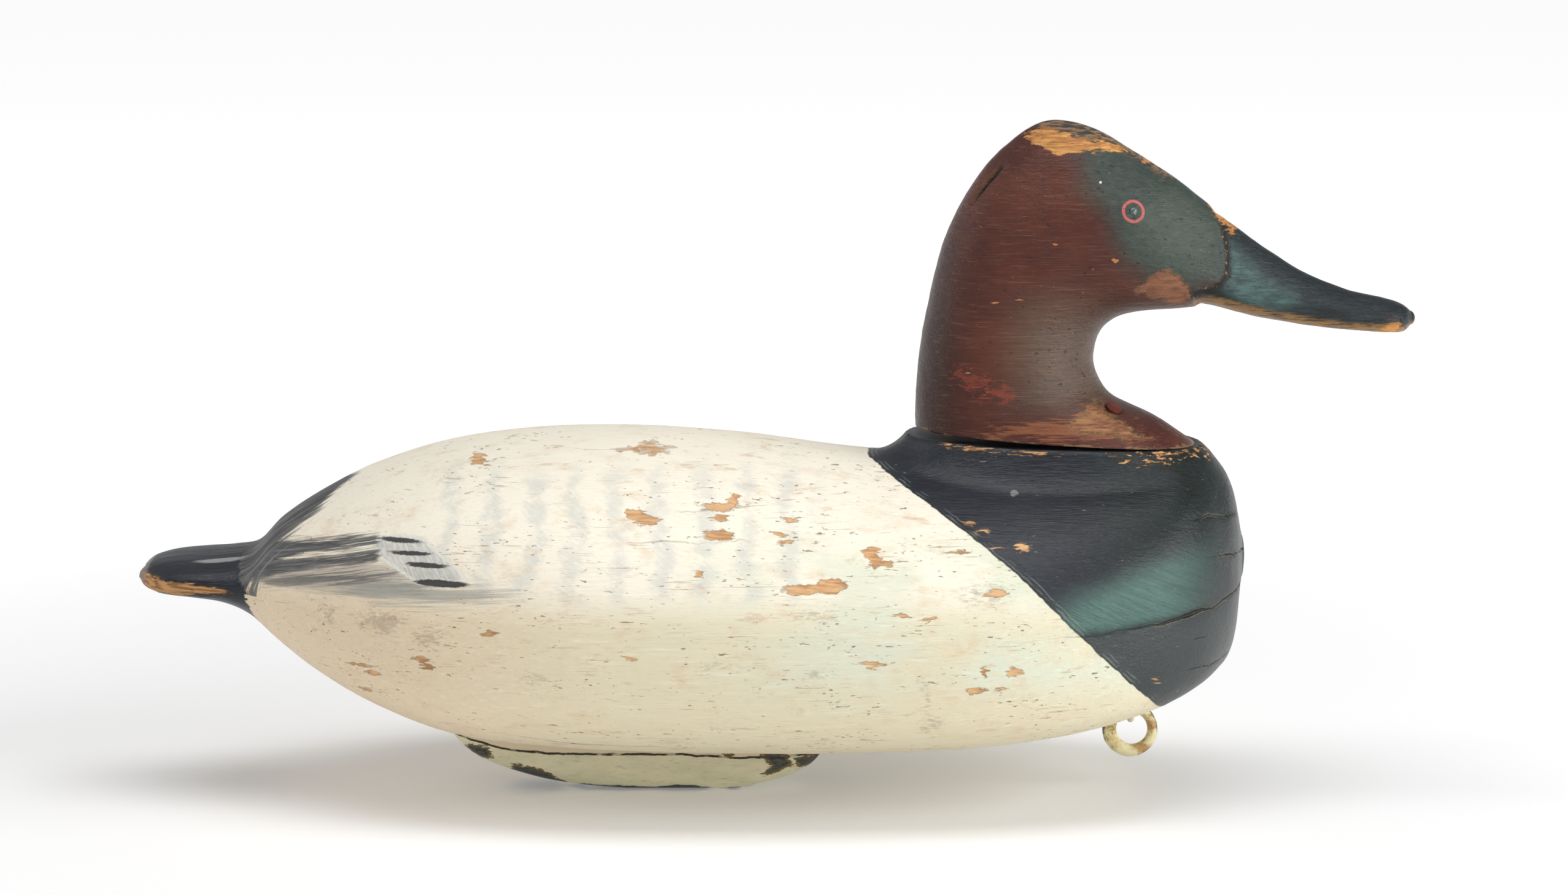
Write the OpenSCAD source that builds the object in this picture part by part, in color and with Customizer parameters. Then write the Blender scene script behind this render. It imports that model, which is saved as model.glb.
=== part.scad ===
// Working duck decoy for open water: a solid carved wooden body, a separate head nailed
// to a raised neck shelf, a cast lead keel, and a ring in a staple for the anchor line.
// Millimetres. +X points to the bill and +Z is up. The origin lies under the middle of
// the whole duck, at the level of the keel's flat underside.

/* [Body] */
// Length of the wooden body, tail tip to breast
body_length = 342; // [300:1:390]
// Greatest width of the body
body_width = 165; // [140:1:190]
// Widest part of the body, as a share of the height from belly to back
belt_height = 0.47; // [0.4:0.01:0.55]
// Height of the neck shelf's rear edge above the keel's underside
shelf_rear_z = 111.4; // [110:0.1:113]
// Height of the neck shelf's front edge above the keel's underside
shelf_front_z = 108.4; // [107:0.1:109]
// Width of the shelf's top outside the neck
shelf_margin = 1.6; // [0.5:0.1:3]

/* [Head] */
// Width of the head at the cheeks
head_width = 47; // [38:0.5:56]
// Width of the neck where it stands on the shelf
neck_width = 58; // [50:0.5:64]
// Width of the bill
bill_width = 26; // [20:0.5:30]
// Open wedge under the rear of the neck
seam_gap = 2.2; // [0.6:0.1:3]

/* [Head nails] */
// Diameter of a head nail's shank
nail_d = 3; // [2:0.1:3.6]
// Length of a head nail
nail_length = 48; // [40:1:54]
// Diameter of the plugged hole over a nail
plug_d = 5; // [4.4:0.1:6]
// Sideways slant of the nails from upright
nail_slant = 25; // [20:1:32]
// Forward rake of the nails from upright
nail_rake = 26; // [20:1:32]

/* [Eyes] */
// Diameter of the tack head in the middle of an eye
tack_head_d = 2.2; // [1.6:0.1:3]
// Length of a tack's shank
tack_length = 9; // [5:0.5:12]

/* [Keel] */
// Length of the cast keel weight
keel_length = 118; // [100:1:120]
// Width of the cast keel weight
keel_width = 22; // [16:0.5:26]
// Depth of the keel at its middle
keel_depth = 17.5; // [17.3:0.1:18.5]
// Diameter of a keel screw's shank
screw_d = 4; // [3:0.1:5]
// Length of a keel screw
screw_length = 34; // [26:1:44]

/* [Line ring] */
// Outside diameter of the ring
ring_d = 17.2; // [15:0.1:17.4]
// Thickness of the ring's wire
ring_wire = 3.5; // [2.4:0.1:3.6]
// Thickness of the staple's wire
staple_wire = 2.2; // [1.8:0.1:2.4]
// Width of the staple, leg to leg
staple_width = 9; // [8:0.1:12]
// Length of the staple's legs above its crown
staple_leg = 24; // [18:1:30]

/* [Hidden] */

wood_cream = [0.93, 0.90, 0.82];
head_brown = [0.40, 0.24, 0.20];
iron = [0.45, 0.38, 0.32];
filler = [0.62, 0.45, 0.36];
brass = [0.78, 0.42, 0.38];
lead_paint = [0.80, 0.82, 0.72];
ring_paint = [0.78, 0.72, 0.60];

tail_tip_x = -197.5;
nominal_length = 342;
nominal_width = 165;
breast_x = tail_tip_x + body_length;

// Rows of the body: x, height of the back, height of the belly, half the width,
// squareness of the upper and of the lower half of the cross-section
body_rows = [
    [-197.5, 69.3, 66.3, 10, 2.4, 2.2],
    [-196, 71.1, 64.6, 15.5, 2.4, 2.2],
    [-193.5, 72.4, 63.4, 20.5, 2.4, 2.2],
    [-188, 73.5, 62.3, 25, 2.5, 2.2],
    [-180, 74.3, 61.4, 27.5, 2.5, 2.2],
    [-170, 75.1, 59.4, 28.5, 2.5, 2.1],
    [-162, 77.0, 55.4, 31, 2.4, 2.1],
    [-154, 85.0, 48.3, 40, 2.1, 2.1],
    [-142, 92.8, 39.2, 51, 2.0, 2.2],
    [-125, 101.2, 30.2, 63.5, 2.0, 2.4],
    [-100, 108.8, 22.4, 74, 2.0, 2.8],
    [-70, 112.4, 18.3, 80.5, 2.0, 2.8],
    [-42, 112.8, 16.9, 82.5, 2.0, 2.8],
    [-10, 110.2, 16.7, 82.5, 2.0, 2.9],
    [25, 105.8, 17.0, 81, 2.0, 3.0],
    [60, 103.8, 19.1, 77, 2.0, 3.3],
    [90, 104.4, 23.6, 69, 2.05, 4.0],
    [112, 105.8, 29.2, 59, 2.1, 4.4],
    [127, 106.4, 34.4, 47, 2.15, 3.9],
    [136, 101.0, 39.2, 35, 2.1, 3.1],
    [141.5, 93.6, 46.6, 23, 2.1, 2.3],
    [144.5, 79.8, 66, 8, 2.0, 2.0]
];

// Stations along the body: close together at the ends and at the shelf's rear edge
body_stations = concat(
    [for (x = [-197.5, -196.2, -194, -190.5, -185]) x],
    [for (x = [-179 : 6 : -167]) x],
    [for (x = [-163 : 3 : -142]) x],
    [for (x = [-136 : 6 : 32]) x],
    [for (x = [36 : 1.5 : 48]) x],
    [for (x = [53 : 5.5 : 119]) x],
    [for (x = [122, 125, 128, 130.5, 133, 135.5, 138, 140, 141.8, 143.2, 144.1, 144.5]) x]
);
body_sides = 56;

// The neck's foot on the shelf
neck_rear_x = 42.6;
neck_front_x = 129.4;
neck_mid_x = (neck_rear_x + neck_front_x) / 2;
neck_half_length = (neck_front_x - neck_rear_x) / 2;
neck_squareness = 2.3;
shelf_blend = 9;
shelf_blend_power = 2.4;

// Rows of the head, from the neck's foot to the tip of the bill: place along the loft, x and z
// of the back or top, x and z of the front or underside, half the width, share of the way
// down at which it is widest, squareness of the upper and of the lower half
head_rows = [
    [0, 42.6, 113.8, 129.4, 108.4, 29, 0.50, 2.3, 2.3],
    [1, 42.6, 122, 117.4, 116.4, 26.6, 0.50, 2.2, 2.2],
    [2, 43.4, 133, 103.6, 123.4, 24.4, 0.50, 2.1, 2.1],
    [3, 45.2, 146, 98.2, 131.8, 23.4, 0.48, 2.1, 2.1],
    [4, 48.0, 160, 98.1, 138.8, 23.0, 0.47, 2.1, 2.1],
    [5, 52.4, 174, 100.2, 144.2, 23.1, 0.50, 2.1, 2.2],
    [6, 59.6, 188, 104.4, 147.8, 23.5, 0.52, 2.1, 2.3],
    [7, 69.8, 200, 110, 149.5, 23.7, 0.55, 2.0, 2.4],
    [8, 82.5, 208, 117, 150.2, 23.3, 0.57, 2.0, 2.4],
    [9, 96.5, 206, 123.5, 150.6, 22.2, 0.58, 2.0, 2.4],
    [10, 110, 198.4, 128.6, 151.0, 20.2, 0.60, 2.0, 2.4],
    [11, 122.3, 190.6, 133, 150.8, 18.0, 0.62, 2.0, 2.4],
    [12, 132.3, 183.2, 138, 149.6, 16.0, 0.66, 2.0, 2.5],
    [13, 141.5, 176.4, 145, 148, 14.4, 0.70, 2.0, 2.6],
    [14, 151.5, 168.5, 154, 146.4, 13.2, 0.74, 2.0, 2.8],
    [15, 163.5, 161, 165, 144.6, 12.7, 0.76, 2.0, 2.8],
    [16, 176.5, 155.8, 177.5, 143.4, 13.0, 0.74, 2.0, 2.8],
    [17, 187.5, 153.2, 188, 142.6, 12.4, 0.66, 2.1, 2.6],
    [18, 193.2, 151.4, 193.2, 142.8, 9.6, 0.60, 2.2, 2.4],
    [19, 196.2, 149.2, 196.2, 145.0, 4.4, 0.50, 2.2, 2.2]
];
head_steps_per_row = 2;
head_sides = 40;
nominal_neck_width = 58;
nominal_head_width = 47;
nominal_bill_width = 26;

// Nails: one from each side of the neck, crossing in the body
nail_entry = [[102.9, -15.7, 121.2], [96.5, 18.6, 123.2]];
plug_depth = 3.2;
nail_head_d = plug_d - 0.4;
nail_head_t = 1.2;
nail_point = 5;

// Eyes
eye_x = 107.8;
eye_y = 21.5;
eye_z = 181.9;
eye_turn = 74;
eye_rake = 34;
tack_shank_d = 1;
tack_crown = 0.8;

// Keel: its seat is planed into the belly in two flats
keel_mid_x = -44;
keel_rear_x = keel_mid_x - keel_length / 2;
keel_front_x = keel_mid_x + keel_length / 2;
seat_bend_x = -60;
seat_rear_rise = 6.5;
seat_slack = 0.3;
keel_sides = 20;
keel_station_count = 28;
keel_end_round = 16;
screw_x = [keel_mid_x - 36, keel_mid_x, keel_mid_x + 36];
screw_head_d = 8;
screw_head_t = 2.4;
screw_recess = 1.2;
screw_point = 6;

// Ring and staple
ring_x = 109.8;
ring_z = 18;
crown_clearance = 0.35;
ring_r = (ring_d - ring_wire) / 2;
crown_x = ring_x;
crown_z = ring_z + ring_r - ring_wire / 2 - staple_wire / 2 - crown_clearance;
staple_tilt = 18;
staple_bend_r = 1.8;
staple_point = 4;

// ---- Curves ----

// The row of a table at or just below a place
function row_below(rows, at, i = 0) =
    (i >= len(rows) - 2 || at < rows[i + 1][0]) ? i : row_below(rows, at, i + 1);

// Slope of a table at one of its rows
function row_slope(rows, i) =
    let (a = max(i - 1, 0), b = min(i + 1, len(rows) - 1))
    (rows[b] - rows[a]) / (rows[b][0] - rows[a][0]);

// A smooth curve through the rows of a table, all columns at once
function curve(rows, at) =
    let (i = row_below(rows, at), p = rows[i], q = rows[i + 1], h = q[0] - p[0],
         t = (at - p[0]) / h, m = row_slope(rows, i) * h, n = row_slope(rows, i + 1) * h)
    p * (2 * pow(t, 3) - 3 * pow(t, 2) + 1) + m * (pow(t, 3) - 2 * pow(t, 2) + t)
    + q * (3 * pow(t, 2) - 2 * pow(t, 3)) + n * (pow(t, 3) - pow(t, 2));

function clamp(v, low, high) = min(max(v, low), high);
function mix(a, b, t) = a + (b - a) * t;

// A coordinate of a superellipse: a power that keeps the sign
function spow(v, squareness) = sign(v) * pow(abs(v), 2 / squareness);

// Faces of a tube of closed rings, with both ends capped
function ring_faces(rings, sides) = concat(
    [for (r = [0 : rings - 2], s = [0 : sides - 1]) let (n = (s + 1) % sides)
        [r * sides + s, (r + 1) * sides + n, r * sides + n]],
    [for (r = [0 : rings - 2], s = [0 : sides - 1]) let (n = (s + 1) % sides)
        [r * sides + s, (r + 1) * sides + s, (r + 1) * sides + n]],
    [[for (s = [0 : sides - 1]) s]],
    [[for (s = [sides - 1 : -1 : 0]) (rings - 1) * sides + s]]
);

// ---- Body ----

// Height of the shelf's flat top at x
function shelf_z(x) =
    mix(shelf_rear_z, shelf_front_z, (x - neck_rear_x) / (neck_front_x - neck_rear_x));

// How far a point in plan lies outside the neck's foot
function outside_neck(x, y) =
    let (u = abs(x - neck_mid_x) / neck_half_length, v = abs(y) / (neck_width / 2),
         r = pow(pow(u, neck_squareness) + pow(v, neck_squareness), 1 / neck_squareness))
    (r - 1) * (neck_width / 2);

// How much of the shelf there is at a point in plan: 1 on its top, 0 out on the shoulders
function shelf_share(x, y) =
    pow(1 - clamp((outside_neck(x, y) - shelf_margin) / shelf_blend, 0, 1), shelf_blend_power);

// A point of the body's skin, from a station and an angle round the section
function body_point(x, a) =
    let (w = curve(body_rows, x), stretch = body_length / nominal_length,
         belt = mix(w[2], w[1], belt_height), half = w[3] * body_width / nominal_width,
         n = sin(a) > 0 ? w[4] : w[5],
         y = half * spow(cos(a), n),
         z = belt + (sin(a) > 0 ? w[1] - belt : belt - w[2]) * spow(sin(a), n),
         lift = sin(a) > 0 ? max(shelf_z(x) - z, 0) * shelf_share(x, y) : 0)
    [tail_tip_x + (x - tail_tip_x) * stretch, y, z + lift];

module body_blank() {
    points = [for (x = body_stations, s = [0 : body_sides - 1])
        body_point(x, -90 + 360 * s / body_sides)];
    polyhedron(points, ring_faces(len(body_stations), body_sides), convexity = 6);
}

// Height of the keel's seat at x: level, then rising towards the tail
function seat_z(x) =
    keel_depth + seat_rear_rise * max(seat_bend_x - x, 0) / (seat_bend_x - keel_rear_x);

// Two flats planed into the belly, where the keel lies
module keel_seat() {
    rear = keel_rear_x - seat_slack;
    front = keel_front_x + seat_slack;
    rotate([90, 0, 0])
        linear_extrude(keel_width + 2 * seat_slack, center = true)
            polygon([[rear, 0], [rear, seat_z(rear)], [seat_bend_x, keel_depth],
                     [front, keel_depth], [front, 0]]);
}

module body() {
    color(wood_cream)
        difference() {
            body_blank();
            keel_seat();
            nail_shanks();
            screw_shanks();
            staple_legs();
        }
}

// ---- Head ----

// A ring of points across the head at a place along its loft
function head_ring(at) =
    let (w = curve(head_rows, at), top = [w[1], w[2]], under = [w[3], w[4]],
         scale_w = at < 3 ? mix(neck_width / nominal_neck_width, head_width / nominal_head_width, at / 3)
                 : at < 9 ? head_width / nominal_head_width
                 : at < 13 ? mix(head_width / nominal_head_width, bill_width / nominal_bill_width,
                                 (at - 9) / 4)
                 : bill_width / nominal_bill_width,
         half = w[5] * scale_w)
    [for (s = [0 : head_sides - 1])
        let (a = -90 + 360 * s / head_sides, n = sin(a) > 0 ? w[7] : w[8],
             y = half * spow(cos(a), n), up = spow(sin(a), n),
             down = up > 0 ? w[6] * (1 - up) : w[6] - (1 - w[6]) * up,
             p = mix(top, under, down))
        [p[0], y, p[1]]];

module head_blank() {
    count = (len(head_rows) - 1) * head_steps_per_row + 1;
    points = [for (r = [0 : count - 1]) each head_ring(r / head_steps_per_row)];
    polyhedron(points, ring_faces(count, head_sides), convexity = 6);
}

// The head's sawn foot: it opens towards the rear, above the shelf
module foot_cut() {
    foot_angle = atan((shelf_rear_z + seam_gap - shelf_front_z) / (neck_front_x - neck_rear_x));
    translate([neck_front_x, 0, shelf_front_z])
        rotate([0, foot_angle, 0])
            translate([-150, -50, -40])
                cube([200, 100, 40]);
}

module head() {
    color(head_brown)
        difference() {
            head_blank();
            foot_cut();
            nail_shanks();
            nail_heads();
            plug_bores(8);
            eye_shanks();
        }
}

// ---- Nails, plugs and tacks ----

// Places its children at a nail's entry, with -Z along the nail
module at_nails() {
    for (entry = nail_entry)
        translate(entry)
            rotate([-sign(entry[1]) * nail_slant, nail_rake, 0])
                children();
}

module nail_shanks() {
    at_nails()
        translate([0, 0, -plug_depth - nail_length]) {
            cylinder(h = nail_point, d1 = 0.6, d2 = nail_d, $fn = 32);
            translate([0, 0, nail_point])
                cylinder(h = nail_length - nail_point, d = nail_d, $fn = 32);
        }
}

module nail_heads() {
    at_nails()
        translate([0, 0, -plug_depth - nail_head_t])
            cylinder(h = nail_head_t, d = nail_head_d, $fn = 32);
}

module plug_bores(length) {
    at_nails()
        translate([0, 0, -plug_depth])
            cylinder(h = length, d = plug_d, $fn = 40);
}

module head_nails() {
    color(iron)
        union() {
            nail_shanks();
            nail_heads();
        }
}

module nail_plugs() {
    color(filler)
        plug_bores(plug_depth);
}

// Places its children at each eye, with +Z outwards
module at_eyes() {
    for (side = [-1, 1])
        translate([eye_x, side * eye_y, eye_z])
            rotate([-side * eye_turn, eye_rake, 0])
                children();
}

module eye_shanks() {
    at_eyes()
        translate([0, 0, -tack_length])
            cylinder(h = tack_length, d = tack_shank_d, $fn = 24);
}

module eye_tacks() {
    color(brass)
        union() {
            eye_shanks();
            at_eyes()
                rotate_extrude($fn = 32)
                    polygon([[0, 0], [tack_head_d / 2, 0], [tack_head_d / 2, tack_crown * 0.3],
                             [tack_head_d * 0.3, tack_crown * 0.85], [0, tack_crown]]);
        }
}

// ---- Keel ----

// Half the keel's width at x: round at both ends
function keel_half(x) =
    let (d = min(x - keel_rear_x, keel_front_x - x), t = clamp(1 - d / keel_end_round, 0, 1))
    keel_width / 2 * sqrt(max(1 - pow(t, 2.4), 0.02));

// Height of the keel's underside at x, before its flat is dressed: rows of
// distance from the rear end as a share of the length, and height
keel_rocker = [
    [0, 19.4], [0.06, 12.2], [0.13, 7.8], [0.24, 3.6], [0.34, 1.4], [0.44, 0.3], [0.51, -0.2],
    [0.6, -0.5], [0.68, -0.5], [0.75, -0.1], [0.83, 1.8], [0.89, 3.7], [0.935, 6.0], [0.97, 8.6],
    [1, 13]
];
function keel_under(x) = curve(keel_rocker, (x - keel_rear_x) / keel_length)[1];

module keel_blank() {
    points = [for (r = [0 : keel_station_count - 1])
        let (x = mix(keel_rear_x, keel_front_x, (1 - cos(180 * r / (keel_station_count - 1))) / 2),
             top = seat_z(x), under = min(keel_under(x), top - 1), half = keel_half(x))
        each concat(
            [for (s = [0 : keel_sides])
                let (a = 180 * s / keel_sides)
                [x, -half * spow(cos(a), 3.2), top - (top - under) * spow(sin(a), 3.2)]]
        )];
    polyhedron(points, ring_faces(keel_station_count, keel_sides + 1), convexity = 4);
}

module keel_weight() {
    color(lead_paint)
        difference() {
            keel_blank();
            translate([keel_rear_x - 5, -keel_width, -10])
                cube([keel_length + 10, keel_width * 2, 10]);
            screw_shanks();
            screw_heads(12);
        }
}

// Places its children at the keel screws
module at_screws() {
    for (x = screw_x)
        translate([x, 0, keel_land(x) + screw_recess])
            children();
}
function keel_land(x) = max(keel_under(x), 0);

module screw_shanks() {
    at_screws() {
        cylinder(h = screw_length - screw_point, d = screw_d, $fn = 32);
        translate([0, 0, screw_length - screw_point])
            cylinder(h = screw_point, d1 = screw_d, d2 = 0.8, $fn = 32);
    }
}

// Countersunk heads; drop lengthens the recess downwards when they are cut out
module screw_heads(drop = 0) {
    at_screws()
        rotate_extrude($fn = 40)
            polygon(concat(
                [[0, -drop], [screw_head_d / 2, -drop]],
                drop > 0 ? [[screw_head_d / 2, 0]] : [],
                [[screw_d / 2, screw_head_t], [0, screw_head_t]]
            ));
}

module keel_screws() {
    color(iron)
        union() {
            screw_shanks();
            screw_heads();
        }
}

// ---- Ring and staple ----

// Places its children at the crown's middle, with +Z along the legs
module at_crown() {
    translate([crown_x, 0, crown_z])
        rotate([0, -staple_tilt, 0])
            children();
}

module staple_legs() {
    at_crown()
        for (side = [-1, 1])
            translate([0, side * (staple_width - staple_wire) / 2, staple_bend_r]) {
                cylinder(h = staple_leg - staple_point, d = staple_wire, $fn = 32);
                translate([0, 0, staple_leg - staple_point])
                    cylinder(h = staple_point, d1 = staple_wire, d2 = 0.6, $fn = 32);
            }
}

module line_staple() {
    half = (staple_width - staple_wire) / 2 - staple_bend_r;
    color(iron)
        union() {
            staple_legs();
            at_crown() {
                rotate([90, 0, 0])
                    cylinder(h = half * 2, d = staple_wire, center = true, $fn = 32);
                for (side = [-1, 1])
                    translate([0, side * half, staple_bend_r])
                        rotate([0, 90, 0])
                            rotate([0, 0, side > 0 ? 0 : -90])
                                rotate_extrude(angle = 90, $fn = 48)
                                    translate([staple_bend_r, 0])
                                        circle(d = staple_wire, $fn = 32);
            }
        }
}

module line_ring() {
    color(ring_paint)
        translate([ring_x, 0, ring_z])
            rotate([90, 0, 0])
                rotate_extrude($fn = 96)
                    translate([ring_r, 0])
                        circle(d = ring_wire, $fn = 32);
}

body();
head();
head_nails();
nail_plugs();
eye_tacks();
keel_weight();
keel_screws();
line_staple();
line_ring();
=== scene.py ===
"""The looks of the floating duck decoy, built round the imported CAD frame.

Shapes are worked out in millimetres in the row frame (+X to the bill, -Y towards the
camera, +Z up) and written to the meshes in metres.
"""
import math
from functools import reduce

import bpy
import numpy as np
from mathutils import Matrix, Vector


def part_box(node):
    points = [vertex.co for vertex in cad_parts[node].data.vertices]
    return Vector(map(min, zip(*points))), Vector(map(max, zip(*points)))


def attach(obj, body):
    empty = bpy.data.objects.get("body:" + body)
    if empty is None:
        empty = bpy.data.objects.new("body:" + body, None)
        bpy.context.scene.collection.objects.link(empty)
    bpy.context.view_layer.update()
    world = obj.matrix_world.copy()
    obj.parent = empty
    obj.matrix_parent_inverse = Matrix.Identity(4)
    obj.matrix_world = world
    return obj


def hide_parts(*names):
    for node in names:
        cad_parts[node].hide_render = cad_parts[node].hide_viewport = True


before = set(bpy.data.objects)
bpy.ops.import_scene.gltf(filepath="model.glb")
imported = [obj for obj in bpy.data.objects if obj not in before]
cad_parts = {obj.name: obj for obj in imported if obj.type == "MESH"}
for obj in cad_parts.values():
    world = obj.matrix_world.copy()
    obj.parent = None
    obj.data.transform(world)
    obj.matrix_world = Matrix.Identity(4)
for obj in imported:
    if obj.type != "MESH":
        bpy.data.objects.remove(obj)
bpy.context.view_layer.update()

MM = 0.001


# ---- Camera, floor and lights ----

def add_camera():
    """The photograph's view: from the duck's right side, a little above it."""
    aim = np.array([2, 0, 106.8]) * MM
    distance = 1.5
    pitch = math.radians(8)
    camera = bpy.data.objects.new("camera", bpy.data.cameras.new("camera"))
    bpy.context.scene.collection.objects.link(camera)
    camera.location = aim + distance * np.array([0, -math.cos(pitch), math.sin(pitch)])
    camera.rotation_euler = (math.pi / 2 - pitch, 0, 0)
    camera.data.sensor_width = 36
    camera.data.lens = 111.4
    camera.data.clip_start = 0.05
    camera.data.clip_end = 100
    bpy.context.scene.camera = camera


def add_softbox(name, place, target, size, power):
    """A square soft light that faces its target."""
    data = bpy.data.lights.new(name, "AREA")
    data.shape = "RECTANGLE"
    data.size = size[0]
    data.size_y = size[1]
    data.energy = power
    light = bpy.data.objects.new(name, data)
    light.location = place
    direction = Vector(target) - Vector(place)
    light.rotation_euler = direction.to_track_quat("-Z", "Y").to_euler()
    bpy.context.scene.collection.objects.link(light)


def add_studio():
    """A plain pale floor, a white room that is dimmer overhead, and three soft lights."""
    scene = bpy.context.scene
    scene.view_settings.view_transform = "Standard"
    world = bpy.data.worlds.new("white_room")
    world.use_nodes = True
    nodes = world.node_tree.nodes
    upward = nodes.new("ShaderNodeSeparateXYZ")
    world.node_tree.links.new(nodes.new("ShaderNodeTexCoord").outputs["Generated"], upward.inputs[0])
    dimming = nodes.new("ShaderNodeMapRange")
    world.node_tree.links.new(upward.outputs["Z"], dimming.inputs["Value"])
    for key, number in (("From Min", 0.09), ("From Max", 0.15), ("To Min", 0.98), ("To Max", 0.22)):
        dimming.inputs[key].default_value = number
    nodes["Background"].inputs["Color"].default_value = (1, 1, 1, 1)
    world.node_tree.links.new(dimming.outputs["Result"], nodes["Background"].inputs["Strength"])
    scene.world = world

    bpy.ops.mesh.primitive_plane_add(size=60, location=(0, 0, 0))
    floor = bpy.context.object
    floor.name = "floor"
    floor.data.materials.append(floor_paper())

    middle = (0, 0, 0.1)
    add_softbox("overhead", (0, -0.25, 1.6), middle, (1.7, 0.9), 17)
    add_softbox("right_window", (1.41, -0.75, 0.66), middle, (1.4, 0.9), 22)
    add_softbox("rear_left", (-1.5, 0.55, 0.8), middle, (0.6, 1), 5)


def floor_paper():
    """White paper that is lit more brightly further off, as a backdrop is."""
    p = Paint("floor_paper")
    glow = p.step(p.vector("LENGTH", p.place), 150, 1200, 0.77, 0.17)
    return p.shade({"Emission Strength": glow, "Emission Color": (1, 1, 1, 1), "Roughness": 0.9,
                    "Base Color": (0.77, 0.77, 0.77, 1), "Specular IOR Level": 0.1})


# ---- Numbers ----

def smooth(low, high, value):
    """0 below low, 1 above high, and a smooth step between them."""
    t = np.clip((value - low) / (high - low), 0, 1)
    return t * t * (3 - 2 * t)


def signed_power(value, squareness):
    """A coordinate of a superellipse."""
    return np.sign(value) * np.abs(value) ** (2 / squareness)


def curve(rows, at):
    """Smooth curves through the columns of a table, at many places at once."""
    table = np.asarray(rows, float)
    at = np.asarray(at, float)
    place = table[:, 0]
    count = len(place)
    before = np.maximum(np.arange(count) - 1, 0)
    after = np.minimum(np.arange(count) + 1, count - 1)
    slope = (table[after] - table[before]) / (place[after] - place[before])[:, None]
    i = np.clip(np.searchsorted(place, at, side="right") - 1, 0, count - 2)
    h = (place[i + 1] - place[i])[:, None]
    t = (at - place[i])[:, None] / h
    return (table[i] * (2 * t ** 3 - 3 * t ** 2 + 1) + slope[i] * h * (t ** 3 - 2 * t ** 2 + t)
            + table[i + 1] * (3 * t ** 2 - 2 * t ** 3) + slope[i + 1] * h * (t ** 3 - t ** 2))


def level(rows, at):
    """Straight lines through the points (place, value) of a table."""
    return np.interp(at, *np.transpose(rows))


# How many random numbers the noise has along each axis before it repeats
LATTICE = 32


def noise(points, cell, seed):
    """Smooth noise from -1 to 1, with grains of the size cell along x, y and z."""
    table = np.random.default_rng(seed).uniform(-1, 1, (LATTICE,) * 3)
    place = points / np.asarray(cell, float) + 7.3 * seed
    low = np.floor(place).astype(int)
    t = place - low
    t = t * t * (3 - 2 * t)
    total = np.zeros(points.shape[:-1])
    for corner in np.ndindex(2, 2, 2):
        weight = np.prod(np.where(corner, t, 1 - t), axis=-1)
        index = (low + corner) % LATTICE
        total += weight * table[index[..., 0], index[..., 1], index[..., 2]]
    return total


def rough(points, cell, seed, octaves=3):
    """Noise with finer noise on it."""
    cell = np.asarray(cell, float)
    return sum(noise(points, cell / 2 ** k, seed + k) / 2 ** k for k in range(octaves))


def inside(points, outline):
    """How far points of the side view lie inside a closed outline, in mm; negative outside."""
    flat = points[:, [0, 2]]
    corners = np.asarray(outline, float)
    nearest = np.full(len(flat), 1e9)
    odd = np.zeros(len(flat), bool)
    for a, b in zip(corners, np.roll(corners, -1, axis=0)):
        edge = b - a
        t = np.clip(((flat - a) @ edge) / (edge @ edge), 0, 1)
        nearest = np.minimum(nearest, np.linalg.norm(flat - a - t[:, None] * edge, axis=1))
        crosses = (a[1] > flat[:, 1]) != (b[1] > flat[:, 1])
        rise = np.where(abs(edge[1]) > 1e-9, edge[1], 1e-9)
        odd ^= crosses & (flat[:, 0] < a[0] + (flat[:, 1] - a[1]) * edge[0] / rise)
    return np.where(odd, nearest, -nearest)


def stroke(points, route):
    """How far points of the side view lie inside a brush stroke: route has x, z and half width."""
    x, _, z = points.T
    route = np.asarray(route, float)
    middle = np.interp(x, route[:, 0], route[:, 1])
    half = np.interp(x, route[:, 0], route[:, 2])
    past = np.maximum(route[0, 0] - x, x - route[-1, 0])
    return np.minimum(half - np.abs(z - middle), -past)


def blob_field(points, blobs):
    """How far points lie inside the deepest of some ellipsoids, in mm of their least half size."""
    best = np.full(len(points), -1e9)
    for centre, half in blobs:
        reach = np.linalg.norm((points - centre) / np.asarray(half, float), axis=1)
        best = np.maximum(best, (1 - reach) * min(half))
    return best


# ---- Meshes ----

def spread_angles(section, start, end, count, weight=None):
    """Angles that share out each ring's arc evenly, or as the weight asks."""
    fine = np.linspace(start, end, 1201)
    points = section(fine[None, :])
    step = np.linalg.norm(np.diff(points, axis=1), axis=2)
    if weight:
        step *= weight((points[:, 1:] + points[:, :-1]) / 2)
    along = np.concatenate([np.zeros((len(points), 1)), np.cumsum(step, axis=1)], axis=1)
    share = np.arange(count) / count
    return np.array([np.interp(share * a[-1], a, fine) for a in along])


def two_sided(section, far_count, near_count, near_weight=None):
    """Rings of a section, with a count of points for the far side and for the near side."""
    far = spread_angles(section, -90, 90, far_count)
    near = spread_angles(section, 90, 270, near_count, near_weight)
    return section(np.concatenate([far, near], axis=1))


def rounded_end(ring, bulge, count=5):
    """Rings that close a tube's end with a soft bulge along x."""
    middle = ring.mean(axis=0)
    turns = np.linspace(0, math.pi / 2, count + 1)[1:]
    outwards = np.array([bulge, 0, 0])
    return [middle + (ring - middle) * max(math.cos(t), 0.02) + outwards * math.sin(t) for t in turns]


def signed_volume(points, quads):
    """Positive where the faces of a closed skin face outwards."""
    a, b, c, d = (points[quads[:, k]] for k in range(4))
    return float((np.cross(b - a, c - a) * a).sum() + (np.cross(c - a, d - a) * a).sum())


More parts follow.
